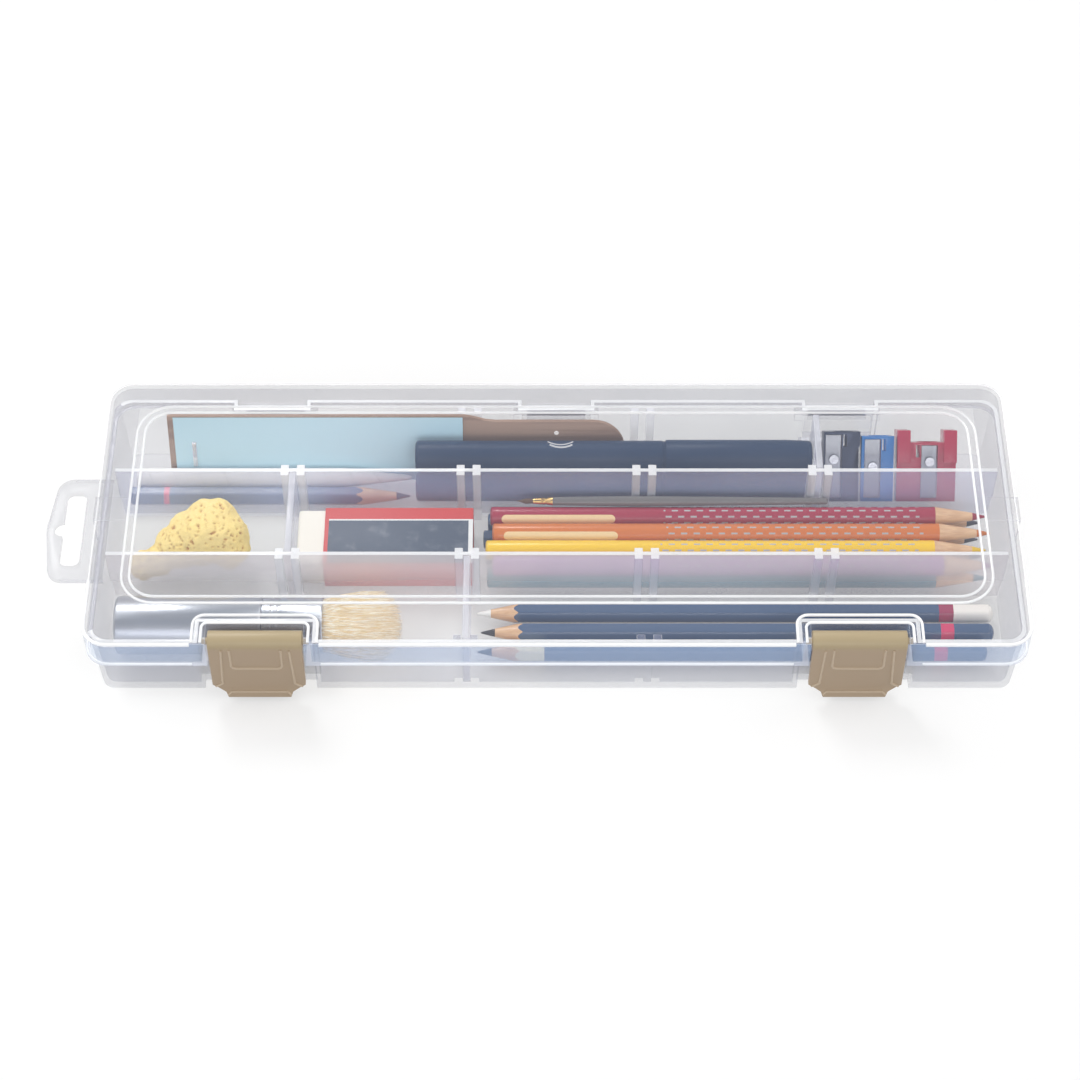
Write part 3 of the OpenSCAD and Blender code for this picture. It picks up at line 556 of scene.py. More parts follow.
def bead_lines():
    """White lines on the two edges of the raised bead round the lid's clear middle: painted highlights."""
    inner = BEAD_X - BEAD_WIDTH
    lines = (round_rectangle(-BEAD_X, BEAD_FRONT, BEAD_X, BEAD_BACK, LID_TOP, BEAD_CORNER),
             round_rectangle(-inner, BEAD_FRONT + BEAD_WIDTH, inner, BEAD_BACK - BEAD_WIDTH, LID_TOP,
                             BEAD_CORNER - BEAD_CORNER_LOSS))
    return [(points, BEAD_RADIUS * MM, True) for points in lines]


def rim_lines():
    """Painted highlight lines along the lid's top edge and along the foot of its skirt."""
    def front_corner(z):
        start = Vector((RIM_NOTCH, -RIM_Y - RIM_CORNER, z)) * MM
        return [start] + arc_points(RIM_X, -RIM_Y, z, RIM_CORNER, -math.pi / 2, 0, 6)

    top, radius = TOP_RIM
    half = front_corner(top) + arc_points(RIM_X, RIM_Y, top, RIM_CORNER, 0, math.pi / 2, 6)
    lines = [(half + mirrored(half[::-1]), radius * MM, False)]
    for z, radius in (FRONT_RIM, SKIRT_FOOT):
        half = front_corner(z) + [Vector((RIM_X + RIM_CORNER, RIM_SIDE, z)) * MM]
        middle = [Vector((x, RIM_FRONT, z)) * MM for x in (-RIM_GAP, 0, RIM_GAP)]
        lines += [(points, radius * MM, False) for points in (half, mirrored(half), middle)]
    return lines


def collar_lines():
    """Painted highlight lines on the rims of the raised collar round each latch's notch."""
    lines = []
    for side in ("left", "right"):
        x = centre_of("latch_" + side).x / MM
        for half, back, corner in COLLARS:
            arch = arc_points(x + half - corner, back - corner, LID_TOP, corner, 0, math.pi / 2, 6)
            arch += arc_points(x - half + corner, back - corner, LID_TOP, corner, math.pi / 2, math.pi, 6)
            ends = [Vector((point.x, COLLAR_FRONT * MM, LID_TOP * MM)) for point in (arch[0], arch[-1])]
            lines.append(([ends[0]] + arch + [ends[1]], COLLAR_RADIUS * MM, False))
    return lines


def make_lid():
    def margin(x, y, z):
        outside = (x.abs() > PANEL_X * MM).math("MAXIMUM", y > PANEL_BACK * MM)
        return outside.math("MAXIMUM", z < PANEL_LOW * MM)

    def kind(spot):
        if spot.z < 30 and HINGE_FRONT < spot.y < HINGE_BACK:
            return "hinge"
        return "skirt" if SKIRT_LOW < spot.z < SKIRT_HIGH and spot.y < -50 else None

    def edge_kind(spot):
        on_top = spot.z > 30.95
        in_front = spot.y < SKIRT_FRONT and (spot.z > 30.0 or spot.z < SKIRT_LOW)
        return "edge" if on_top or in_front else "inner_edge"

    finishes = {
        "sheet": clear_sheet("lid_sheet", 0.03, LID_BLUE, margin, 0.17, SHADY),
        "edge": clear_edge("lid_edge_highlight", 0.42, more_highlight_in_front=0.38),
        "rib": clear_edge("lid_rib", 0.4, RIB),
        "hinge": clear_sheet("lid_hinge", 0.12, SHADY),
        "inner_edge": clear_edge("lid_inner_edge", 0.14, FAINT),
        "skirt": clear_sheet("lid_skirt", 0.21, SKIRT_BLUE),
    }
    clear_case("clear_lid", "lid", finishes, LID, 0.5 * MM, 1.6 * MM, kind=kind,
               edge_kind=edge_kind, trim=bead_lines() + collar_lines() + rim_lines())


def make_gate_mark():
    """The small round scar and flow ripples that moulding leaves on the lid, drawn in pale plastic whose
    whiteness is a painted glint.
    """
    y, z = GATE
    bm = bmesh.new()
    add_tube(bm, arc_points(0, y, z, 0.5, steps=10)[:-1], 0.4 * MM, closed=True)
    start, end = math.radians(236), math.radians(304)
    for aside, back, radius, width in ((1.6, 0.5, 7.0, 0.34), (1.4, 2.7, 8.0, 0.24)):
        add_tube(bm, arc_points(aside, y + back, z, radius, start, end), width * MM)
    passes_light(finish_piece("lid_gate_mark", bm, [clear_edge("gate_glint_plastic", 0.25)], LID))


def make_tray():
    # the walls, and the back bay's floor behind the rear wall, where the darker haze is painted shade from
    # the things lying in the bay
    def walls(x, y, z):
        return (z > 3.5 * MM).math("MAXIMUM", y > 20.6 * MM)

    def upper(x, y, z):
        return z.smooth(8 * MM, 21 * MM)

    def kind(spot):
        if spot.y > 48.5:
            return "hinge"
        if spot.y < -49 and spot.z > 3.5:
            return "front_wall"
        if 4 < spot.z < 27.3 and abs(spot.x) < 150:
            if 19 < spot.y < 20.8:
                return "rear_wall"
            if -17.4 < spot.y < -15.6:
                return "fore_wall"
        return None

    def thin_kind(spot, area):
        return "edge" if spot.z > RIM_HEIGHT and abs(spot.y) < 22 and area > 40 else "rib"

    def edge_kind(spot):
        if spot.y < -50 and spot.z < 2.5:
            return "edge"
        if spot.z > RIM_HEIGHT and spot.y < 49 and abs(spot.x) < 154:
            return "rib" if spot.y > 40 else "edge"
        return "inner_edge"

    finishes = {
        "sheet": clear_sheet("tray_sheet", 0.21, FLOOR_GREY, walls, 0.2, SHADY),
        "edge": clear_edge("tray_edge_highlight", 0.7),
        "rib": clear_edge("tray_rib", 0.4, RIB),
        "hinge": clear_sheet("tray_hinge", 0.1, SHADY),
        "rear_wall": clear_sheet("rear_wall_sheet", 0.215, WALL_BLUE),
        "fore_wall": clear_sheet("fore_wall_sheet", 0.24, CREAMY, upper, 0.46, CREAMY),
        "inner_edge": clear_edge("tray_inner_edge", 0.3, FAINT),
        "front_wall": clear_sheet("front_wall_sheet", 0.21, BLUISH),
    }
    clear_case("clear_tray", "base_tray", finishes, BODY, 0.4 * MM, 2.6 * MM, kind=kind,
               thin_kind=thin_kind, edge_kind=edge_kind)


def make_dividers():
    finishes = {
        "sheet": clear_sheet("divider_sheet", 0.2, MILK),
        "edge": clear_edge("divider_edge_highlight", 0.5, RIB),
        "rib": clear_edge("divider_rib", 0.4, RIB),
    }
    for place in ("back", "middle", "front"):
        clear_case("divider_card_" + place, "divider_" + place, finishes, BODY,
                   0.35 * MM, 2.6 * MM)


# ---- latches ----

OLIVE_START, OLIVE_FULL = 25.5, 29.5  # height of the top band, in mm
# Paths of the ridges on a latch's face, as (x, z) in mm from its middle, on its right side or both
FRAME_RIDGE = [(-8.6, 27.0), (-8.6, 18.2), (-8.0, 17.2), (-7.0, 16.8), (7.0, 16.8), (8.0, 17.2), (8.6, 18.2),
               (8.6, 27.0)]
SIDE_RIDGE = [(11.4, 26.6), (12.2, 8.4), (16.4, 5.2)]
FOOT_RIDGE = [(-10.6, 3.2), (-9.6, 4.4), (9.6, 4.4), (10.6, 3.2)]
RIDGE_RADIUS, FOOT_RIDGE_RADIUS = 0.46, 0.36


def tan_plastic():
    finish = Finish("tan_plastic", (0.43, 0.325, 0.226), 0.42)
    grain = finish.noise(900, 3)
    finish.paint(finish.noise(60, 3) * 0.25, (0.47, 0.36, 0.255))
    finish.paint(finish.axes()[2].smooth(OLIVE_START * MM, OLIVE_FULL * MM) * 0.7, (0.43, 0.35, 0.20))
    return finish.bump(grain, 0.03 * MM, 0.5)


def ridge_highlight_plastic():
    """Raised lines, a little smoother and painted paler than the grained face round them; the paler colour is
    a painted highlight on their tops.
    """
    finish = Finish("tan_ridge_highlight", (0.56, 0.45, 0.33), 0.35)
    return finish.grained(900, 0.02, 0.3)


def make_latch(side):
    """A latch with the thin ridges moulded on its face."""
    node = "latch_" + side
    bm = merged_copy(node)
    round_edges(bm, 0.45 * MM, segments=3, angle=30)
    middle = centre_of(node).x
    surface = BVHTree.FromBMesh(bm)

    def on_face(points):
        """Points on the face, found straight ahead of each (x, z) on the way between them."""
        spots = []
        for (x0, z0), (x1, z1) in zip(points, points[1:]):
            count = max(2, int(math.hypot(x1 - x0, z1 - z0)))
            for i in range(count + 1):
                x, z = x0 + (x1 - x0) * i / count, z0 + (z1 - z0) * i / count
                hit = surface.ray_cast(Vector((middle + x * MM, -0.2, z * MM)), Vector((0, 1, 0)))[0]
                if hit and (not spots or (hit - spots[-1]).length > 0.1 * MM):
                    spots.append(hit)
        return spots

    other_side = [(-x, z) for x, z in SIDE_RIDGE]
    for path, radius in ((FRAME_RIDGE, RIDGE_RADIUS), (other_side, RIDGE_RADIUS), (SIDE_RIDGE, RIDGE_RADIUS),
                         (FOOT_RIDGE, FOOT_RIDGE_RADIUS)):
        add_tube(bm, on_face(path), radius * MM, sides=8, material=1)
    finish_piece("tan_latch_" + side, bm, [tan_plastic(), ridge_highlight_plastic()], node, [node])


# ---- pencils ----

LEAD_OUT = 5        # mm of lead in front of the wood
LEAD_RADIUS = 1.45
NAVY = (0.04, 0.09, 0.19)
ROSE, MAROON = (0.62, 0.03, 0.12), (0.33, 0.02, 0.08)
DIP_WHITE, BAND_CREAM = (0.86, 0.82, 0.78), (0.82, 0.74, 0.52)
LACQUERS = {
    "red": (0.37, 0.012, 0.045),
    "orange": (0.66, 0.17, 0.015),
    "yellow": (0.95, 0.60, 0.01),
    "violet": (0.40, 0.14, 0.40),
    "teal": (0.02, 0.22, 0.29),
}
WITH_FIELD = ("red", "orange")      # a name field shows on these
WITH_GRIP = ("red", "orange", "yellow", "violet")
GRIP_PITCH, GRIP_ROW_PITCH = 4.4, 2.3           # mm between dashes and between their rows
GRIP_HALF_LENGTH, GRIP_HALF_WIDTH = 1.1, 0.3
GRIP_FROM, GRIP_TO = -114, -24                  # places along a pencil count from its tip
FIELD_FROM, FIELD_TO, FIELD_HALF_WIDTH = -171, -131, 1.6
FIELD_TURN = 0.92   # how far the field is turned to the front, in radians
END_FACE = -174.3


def bare_wood(finish, mask):
    """Sharpened cedar: pale with fine streaks along the pencil."""
    finish.paint(mask, (0.74, 0.47, 0.27))
    streaks = finish.noise(900, 2, stretch=(0.06, 1, 1)).smooth(0.42, 0.62)
    return finish.paint(mask * streaks * 0.5, (0.55, 0.31, 0.16))


class Pencil:
    """Sizes of one pencil, read from its wooden body; way is 1 where its tip points to +X."""

    def __init__(self, node, way, cone):
        low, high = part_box(node)
        self.node = node
        self.way = way
        self.y = (low.y + high.y) / 2
        self.z = (low.z + high.z) / 2
        self.radius = (high.y - low.y) / 2
        self.tip = (high.x if way > 0 else low.x) + way * LEAD_OUT * MM
        self.end = low.x if way > 0 else high.x
        self.cone = cone * MM
        self.lead = LEAD_RADIUS * MM

    def at(self, back):
        """X at a distance behind the tip."""
        return self.tip - self.way * back

    def slope(self):
        return (self.radius - self.lead) / (self.cone - LEAD_OUT * MM)

    def profile(self, end_corner):
        """From the pole of the cut wood, along the cone and the barrel, to the rounded end."""
        points = [(self.at(LEAD_OUT * MM), 0.0), (self.at(LEAD_OUT * MM), self.lead)]
        steps = 26
        length = self.cone + 2 * MM - LEAD_OUT * MM
        for i in range(1, steps + 1):
            back = length * i / steps
            points.append((self.at(LEAD_OUT * MM + back), min(self.radius, self.lead + self.slope() * back)))
        return points + rounded_end(self.end, self.radius, end_corner, self.way)[::-1]

    def finish(self, name, colour, roughness=0.25):
        return Finish(name, colour, roughness, (self.tip, self.y, self.z))

    def wood_mask(self, finish):
        """1 on the cone, whose edge is scalloped where it meets flat sides."""
        x, y, z = finish.axes()
        radius = (y * y + z * z).sqrt()
        cone = (x.abs() - LEAD_OUT * MM) * self.slope() + self.lead
        return (cone - radius) < 0.05 * MM

    def make_lead(self, finish, group):
        back, radius = self.at((LEAD_OUT + 4) * MM), self.lead - 0.03 * MM
        profile = [(self.tip, 0.0), (self.at(0.25 * MM), 0.28 * MM), (self.at(LEAD_OUT * MM), radius),
                   (back, radius), (back, 0.0)]
        finish_piece(self.node + "_lead", lathe(profile, self.y, self.z, 24), [finish], BODY, [group])


def flat_sides(bm, y, z, radius_to_flat):
    """Pulls a turned body in to a hexagon that lies on a flat, with softly rounded corners."""
    for vert in bm.verts:
        dy, dz = vert.co.y - y, vert.co.z - z
        radius = math.hypot(dy, dz)
        if radius < 0.1 * MM:
            continue
        turn = math.atan2(dz, dy) % (math.pi / 3) - math.pi / 6
        limit = min(radius_to_flat / math.cos(turn), radius_to_flat * 1.115)
        if radius > limit:
            vert.co.y = y + dy * limit / radius
            vert.co.z = z + dz * limit / radius


def darker(colour, share):
    return tuple(part * share for part in colour)


def lacquer(pencil, name, colour):
    finish = pencil.finish(name, colour, 0.22).set(Coat_Weight=0.4, Coat_Roughness=0.12)
    finish.paint(finish.noise(400, 2, stretch=(0.05, 1, 1)) * 0.18, darker(colour, 0.7))
    return finish


def grip_marks(pencil, finish):
    """Short silver dashes in staggered rows on the half of the barrel that a hand holds."""
    x, y, z = finish.axes()
    pitch, row_pitch = GRIP_PITCH * MM, GRIP_ROW_PITCH * MM
    row = (y.math("ARCTAN2", z) * (pencil.radius / row_pitch)).math("ROUND")
    off_row = (y.math("ARCTAN2", z) * pencil.radius - row * row_pitch).abs()
    along = x / pitch + row * 0.5
    off_along = (along - along.math("ROUND")).abs() * pitch
    dash = (off_along < GRIP_HALF_LENGTH * MM) * (off_row < GRIP_HALF_WIDTH * MM)
    return finish.paint(dash * x.between(GRIP_FROM * MM, GRIP_TO * MM), (0.45, 0.46, 0.47))


def name_field(pencil, finish):
    """Bare cream field with round ends, for a name, on the side that faces up and forward."""
    x, y, z = finish.axes()
    arc = ((y * -1.0).math("ARCTAN2", z) - FIELD_TURN) * pencil.radius
    start, end = FIELD_FROM * MM, FIELD_TO * MM
    half, height = (end - start) / 2, FIELD_HALF_WIDTH * MM
    off = ((x - (start + end) / 2).abs() - (half - height)).math("MAXIMUM", 0.0)
    distance = (off * off + arc * arc).sqrt()
    return finish.paint(distance < height, (0.88, 0.66, 0.36))


def make_coloured_pencils():
    for name, colour in LACQUERS.items():
        pencil = Pencil("pencil_" + name, 1, 18)
        finish = lacquer(pencil, name + "_lacquer", colour)
        if name in WITH_GRIP:
            grip_marks(pencil, finish)
        if name in WITH_FIELD:
            name_field(pencil, finish)
        x, y, z = finish.axes()
        finish.paint(x < END_FACE * MM, darker(colour, 0.75))
        bare_wood(finish, pencil.wood_mask(finish))
        finish_piece("coloured_pencil_" + name, lathe(pencil.profile(0.9 * MM), pencil.y, pencil.z), [finish],
                     BODY, [pencil.node])
        core = pencil.finish(name + "_core", darker(colour, 0.8), 0.6)
        core.grained(1200, 0.05, 0.6)
        pencil.make_lead(core, "coloured_leads")


def drawing_pencil(node, way, cone, dips, core_finish, lead_group, rounded):
    """A hexagonal navy pencil; dips are bands of colour as (start, end, colour) in mm from the end."""
    pencil = Pencil(node, way, cone)
    finish = lacquer(pencil, node + "_lacquer", NAVY)
    x, y, z = finish.axes()
    length = abs(pencil.tip - pencil.end)
    for start, end, colour in dips:
        finish.paint(x.abs().between(length - end * MM, length - start * MM), colour)
    bare_wood(finish, pencil.wood_mask(finish))
    bm = lathe(pencil.profile(rounded * MM), pencil.y, pencil.z)
    flat_sides(bm, pencil.y, pencil.z, pencil.radius * math.cos(math.pi / 6))
    finish_piece(node + "_body", bm, [finish], BODY, [node], smooth=24)
    pencil.make_lead(core_finish(pencil, node), lead_group)


def graphite_core(pencil, node):
    return pencil.finish(node + "_core", (0.06, 0.06, 0.075), 0.35).set(Metallic=0.4)


def chalk_core(pencil, node):
    core = pencil.finish(node + "_core", (0.85, 0.85, 0.84), 0.9)
    return core.grained(1500, 0.06, 0.8)


def charcoal_core(pencil, node):
    core = pencil.finish(node + "_core", (0.03, 0.03, 0.035), 0.8)
    return core.grained(1500, 0.06, 0.8)


def make_drawing_pencils():
    for name in ("back", "a", "b", "c"):
        drawing_pencil("graphite_pencil_" + name, 1, 20, [(0, 12, NAVY), (12, 14, ROSE)],
                       graphite_core, "graphite_leads", 1.2)
    rose_band = (14, 18.5, ROSE)
    for name, dips, core in (("white_chalk_pencil", [(0, 14, DIP_WHITE), (14, 19, MAROON)], chalk_core),
                             ("charcoal_pencil_a", [rose_band], charcoal_core),
                             ("charcoal_pencil_b", [rose_band, (152, 164, BAND_CREAM)], charcoal_core)):
        drawing_pencil(name, -1, 15, dips, core, "chalk_leads", 3.0)


# ---- pens and stump ----

def pen_plastic():
    finish = Finish("pen_plastic", (0.006, 0.032, 0.085), 0.36).set(Specular_IOR_Level=0.2)
    finish.paint(finish.noise(50, 3) * 0.3, (0.012, 0.045, 0.11))
    return finish.grained(1500, 0.01, 0.2)


def make_pens():
    finish = pen_plastic()
    for place in ("upper", "lower"):
        low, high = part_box(place + "_pen_barrel")
        cap_low, cap_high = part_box(place + "_pen_cap")
        radius = (high.z - low.z) / 2
        cap = (cap_high.z - cap_low.z) / 2
        neck, plug = radius - 0.25 * MM, radius - 1.1 * MM
        barrel = rounded_end(low.x, radius, 1.4 * MM, 1)
        barrel += points_from(cap_low.x, (-1.2, radius), (-1.0, neck), (-0.2, neck), (6, plug), (6, 0.0))
        turned_piece(place + "_pen", barrel, finish, place + "_pen_barrel", place + "_pen_cap")
        shell = points_from(cap_low.x, (5, 0.0), (5, radius - 1.0 * MM), (0.15, radius - 0.1 * MM),
                            (0, cap - 0.2 * MM), (0.25, cap), (34, cap))
        shell += points_from(cap_high.x, (-9, cap), (-3, cap - 0.25 * MM))
        shell += rounded_end(cap_high.x, cap - 0.3 * MM, 1.5 * MM, -1)[::-1]
        turned_piece(place + "_pen_cap_shell", shell, finish, place + "_pen_cap",
                     place + "_pen_cap")


COIL_PITCH = 9  # mm that the paper's seam moves on in a turn
STUMP_POINT = 24


def rolled_paper(centre):
    finish = Finish("rolled_paper", (0.74, 0.72, 0.69), 0.85, centre)
    x, y, z = finish.axes()
    turn = y.math("ARCTAN2", z) * (1 / math.tau)
    coil = x / (COIL_PITCH * MM) + turn
    seam = (coil - coil.math("FLOOR") - 0.5).abs()
    finish.paint(seam.smooth(0.47, 0.5), (0.5, 0.49, 0.47))
    return finish.grained(1200, 0.06, 0.7, detail=3)


def make_stump():
    low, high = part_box("blending_stump")
    radius = (high.z - low.z) / 2
    profile = rounded_end(low.x, radius, 0.6 * MM, 1)
    profile += points_from(high.x, (-STUMP_POINT, radius), (2 - STUMP_POINT, radius * 0.95),
                           (-1.2, 0.9 * MM), (-0.2, 0.4 * MM), (0, 0.0))
    turned_piece("paper_stump", profile, rolled_paper(centre_of("blending_stump")),
                 "blending_stump", "blending_stump")


# ---- sanding paddle ----

LEAN = math.radians(73)
# The board's sizes in mm: inset is how much narrower the grip is on each side, and paper the pad's height
PADDLE = dict(thickness=1.6, blade=105.2, width=27.3, length=163.0, inset=2.3, shoulder=11, paper=0.6)
PAD_LENGTH, PAD_WIDTH, PAD_START, PAD_MIDDLE, PAD_SHEETS, SHEET_SLIP = 103, 26.7, 2.2, 13.65, 5, 0.12
STAPLE_X, STAPLE_FROM, STAPLE_TO, STAPLE_WIDTH, STAPLE_CORNER = 9.1, 6.2, 16.8, 1.7, 0.4
STAPLE_SUNK, STAPLE_EDGE, STAPLE_RISE = 0.3, 0.2, 0.5


def paddle_frame():
    low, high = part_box("paddle_board")
    foot = high.y - PADDLE["width"] * MM * math.cos(LEAN)
    return Matrix.Translation((low.x, foot, low.z)) @ Matrix.Rotation(LEAN, 4, "X")


def board_wood(place):
    finish = Finish("board_wood", (0.37, 0.24, 0.17), 0.6, place.translation, (LEAN, 0, 0))
    grain = finish.noise(260, 4, stretch=(0.05, 1, 1))
    finish.paint(grain.smooth(0.4, 0.62) * 0.7, (0.23, 0.13, 0.085))
    return finish.bump(grain, 0.1 * MM, 0.4)


def make_paddle_board():
    """A wide blade that narrows by soft shoulders to a grip with a round end."""
    place = paddle_frame()
    blade, width, length = PADDLE["blade"], PADDLE["width"], PADDLE["length"]
    shoulder, inset = PADDLE["shoulder"], PADDLE["inset"]
    grip = width / 2 - inset
    shares = (0.25, 0.5, 0.75, 1)
    steps = [(blade + shoulder * t, inset * (3 * t * t - 2 * t * t * t)) for t in shares]
    centre = length - grip
    outline = [(0, 0), (0, width), (blade, width)] + [(x, width - narrowed) for x, narrowed in steps]
    outline += [(centre + grip * math.sin(math.pi * i / 16), width / 2 + grip * math.cos(math.pi * i / 16))
                for i in range(17)]
    outline += steps[::-1] + [(blade, 0)]
    bm = extruded([(x * MM, y * MM, 0) for x, y in outline], (0, 0, PADDLE["thickness"] * MM))
    round_edges(bm, 0.35 * MM, angle=40)
    bmesh.ops.transform(bm, matrix=place, verts=bm.verts)
    finish_piece("paddle_wood", bm, [board_wood(place)], BODY, ["paddle_board"])


def blue_paper(place):
    finish = Finish("blue_paper", (0.56, 0.82, 0.95), 0.8, place.translation, (LEAN, 0, 0))
    finish.paint(finish.noise(40, 3) * 0.3, (0.47, 0.77, 0.92))
    return finish.grained(1500, 0.04, 0.5, detail=3)


def make_paddle_paper():
    """A pad of sanding sheets under a blue cover sheet."""
    place = paddle_frame()
    bm = bmesh.new()
    height = PADDLE["paper"] / PAD_SHEETS
    for i in range(PAD_SHEETS):
        slip = SHEET_SLIP * (i % 2)
        size = Vector((PAD_LENGTH - slip, PAD_WIDTH - slip, height * 0.9)) * MM
        rise = PADDLE["thickness"] + height * (i + 0.5)
        centre = Vector((PAD_START + PAD_LENGTH / 2, PAD_MIDDLE, rise)) * MM
        made = bmesh.ops.create_cube(bm, size=1,
                                     matrix=Matrix.Translation(centre) @ Matrix.Diagonal((*size, 1)))
        for vert in made["verts"]:
            for face in vert.link_faces:
                face.material_index = 0 if i == PAD_SHEETS - 1 else 1
    bmesh.ops.transform(bm, matrix=place, verts=bm.verts)
    grit = Finish("sanding_grit", (0.20, 0.15, 0.11), 0.9)
    grit.grained(4000, 0.1)
    finish_piece("paddle_sheets", bm, [blue_paper(place), grit], BODY, ["paddle_paper"])


def bright_wire():
    finish = Finish("bright_wire", (0.86, 0.88, 0.92), 0.2).set(Metallic=0.8)
    return finish.grained(2500, 0.02, 0.4)


def make_staple():
    """One flat bright staple, its ends bent down into the paper."""
    base = PADDLE["thickness"] + PADDLE["paper"]
    sunk, edge, top = base - STAPLE_SUNK, base + STAPLE_EDGE, base + STAPLE_RISE
    profile = [(STAPLE_FROM, sunk), (STAPLE_FROM, edge), (STAPLE_FROM + STAPLE_CORNER, top),
               (STAPLE_TO - STAPLE_CORNER, top), (STAPLE_TO, edge), (STAPLE_TO, sunk)]
    bm = extruded([Vector((STAPLE_X - STAPLE_WIDTH / 2, y, z)) * MM for y, z in profile],
                  (STAPLE_WIDTH * MM, 0, 0))
    round_edges(bm, 0.24 * MM, segments=3, angle=20)
    bmesh.ops.transform(bm, matrix=paddle_frame(), verts=bm.verts)
    finish_piece("paddle_wire", bm, [bright_wire()], BODY, ["paddle_staple"])


# ---- sharpeners ----

def coated_metal():
    finish = Finish("coated_metal", (0.035, 0.05, 0.095), 0.32).set(Metallic=0.5)
    return finish.grained(1800, 0.03, 0.5)


def shiny_plastic(name, colour):
    finish = Finish(name, colour, 0.25).set(Coat_Weight=0.3)
    finish.paint(finish.noise(120, 2) * 0.2, tuple(c * 0.7 for c in colour))
    return finish.grained(900, 0.02, 0.3)


def ground_steel():
    finish = Finish("ground_steel", (0.30, 0.31, 0.34), 0.3).set(Metallic=1.0)
    lines = finish.noise(900, 2, stretch=(1, 0.04, 0.04))
    return finish.bump(lines, 0.03 * MM, 0.6)


SHARPENER_LEAN = math.radians(42)
FACE_TILT = math.atan(3.2 / 25)
# Sizes in mm as in the frame's solids: blade is where the blade starts, and screw how far up it sits
SHARPENERS = {
    "metal_sharpener": dict(width=12.8, length=25.0, blade=0.5, screw=15.5, slit=0.5),
    "blue_sharpener": dict(width=11.4, length=23.4, blade=1.0, screw=12.8, slit=0.5),
    "red_sharpener": dict(width=21.0, length=21.2, blade=8.6, screw=14.6, slit=-7.7),
}
FOOT_HEIGHT = 6.4  # of a sharpener's face above its back, at the end that stands down
BLADE_WIDTH, BLADE_FOOT, BLADE_END_GAP = 5.8, 1.5, 0.9
BLADE_LOW, BLADE_HIGH, BLADE_BEVEL = 0.05, 0.65, 0.55
SLIT_WIDTH, SLIT_FROM, SLIT_TO = 1.3, 5.4, 1.0  # the last two down from the top
SCOOP_RADIUS, SCOOP_MIDDLE = 22, 10
HEAD_RADIUS, HEAD_TOP_RADIUS, HEAD_HEIGHT, HEAD_MIDDLE = 1.9, 1.6, 0.9, 1.12
CROSS_REACH, CROSS_HALF_WIDTH, CROSS_FLOOR, CROSS_TURN = 1.3, 0.26, 1.05, 0.35


def carve(bm, cutters):
    """Cuts closed shapes, given as meshes, out of bm."""
    body, *tools = [object_of("carving", shape) for shape in (bm, *cutters)]
    for tool in tools:
        cut = body.modifiers.new("cut", "BOOLEAN")
        cut.object = tool
        cut.solver = "EXACT"
    result = modified_shape(body)
    for holder in (body, *tools):
        bpy.data.objects.remove(holder)
    return result


def cutter_box(low, high, place):
    low, high = Vector(low) * MM, Vector(high) * MM
    bm = bmesh.new()
    at = place @ Matrix.Translation((low + high) / 2) @ Matrix.Diagonal((*(high - low), 1))
    bmesh.ops.create_cube(bm, size=1, matrix=at)
    return bm


def cutter_rod(x, y, radius, place, low, high):
    """A rod across a sharpener's thickness, which scoops out its side for the fingers."""
    bm = bmesh.new()
    at = place @ Matrix.Translation(Vector((x, y, (low + high) / 2)) * MM)
    bmesh.ops.create_cone(bm, cap_ends=True, segments=96, radius1=radius * MM, radius2=radius * MM,
                          depth=(high - low) * MM, matrix=at)
    return bm


def sharpener_place(node):
    low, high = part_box(node)
    return (Matrix.Translation((low.x, low.y + FOOT_HEIGHT * MM * math.sin(SHARPENER_LEAN), low.z))
            @ Matrix.Rotation(SHARPENER_LEAN, 4, "X"))


def make_sharpener(node, finish, scoop=0.0):
    """Body with a finger scoop in its right side, and the slit where shavings leave beside the blade."""
    place, sizes = sharpener_place(node), SHARPENERS[node]
    slit = sizes["blade"] + BLADE_WIDTH + sizes["slit"]
    top = sizes["length"]
    cutters = [cutter_box((slit, top - SLIT_FROM, -1), (slit + SLIT_WIDTH, top - SLIT_TO, 12), place)]
    if scoop:
        x = sizes["width"] + SCOOP_RADIUS - scoop
        cutters.append(cutter_rod(x, SCOOP_MIDDLE, SCOOP_RADIUS, place, 4.5, 13))
    bm = carve(merged_copy(node), cutters)
    bmesh.ops.remove_doubles(bm, verts=bm.verts, dist=0.02 * MM)
    round_edges(bm, 0.3 * MM, angle=40)
    finish_piece(node + "_body", bm, [finish], BODY, [node])


def bevelled_blade(sizes, place):
    """A flat blade, ground down along its cutting edge."""
    end = sizes["length"] - BLADE_END_GAP
    plate = cutter_box((0, BLADE_FOOT, BLADE_LOW), (BLADE_WIDTH, end, BLADE_HIGH), place)
    back = place.inverted()
    edge = [e for e in plate.edges
            if all(abs((back @ v.co).x - BLADE_WIDTH * MM) < 0.01 * MM and (back @ v.co).z > 0.5 * MM
                   for v in e.verts)]
    bmesh.ops.bevel(plate, geom=edge, offset=BLADE_BEVEL * MM, affect="EDGES", segments=1, profile=0.5,
                    material=-1)
    return plate


def screw_head(place):
    """A low head with a cross cut into it."""
    head = bmesh.new()
    bmesh.ops.create_cone(head, cap_ends=True, segments=40, radius1=HEAD_RADIUS * MM,
                          radius2=HEAD_TOP_RADIUS * MM, depth=HEAD_HEIGHT * MM,
                          matrix=place @ Matrix.Translation((0, 0, HEAD_MIDDLE * MM)))
    cross = place @ Matrix.Rotation(CROSS_TURN, 4, "Z")
    reach, half = CROSS_REACH, CROSS_HALF_WIDTH
    return carve(head, [cutter_box((-x, -y, CROSS_FLOOR), (x, y, 3), cross)
                        for x, y in ((reach, half), (half, reach))])


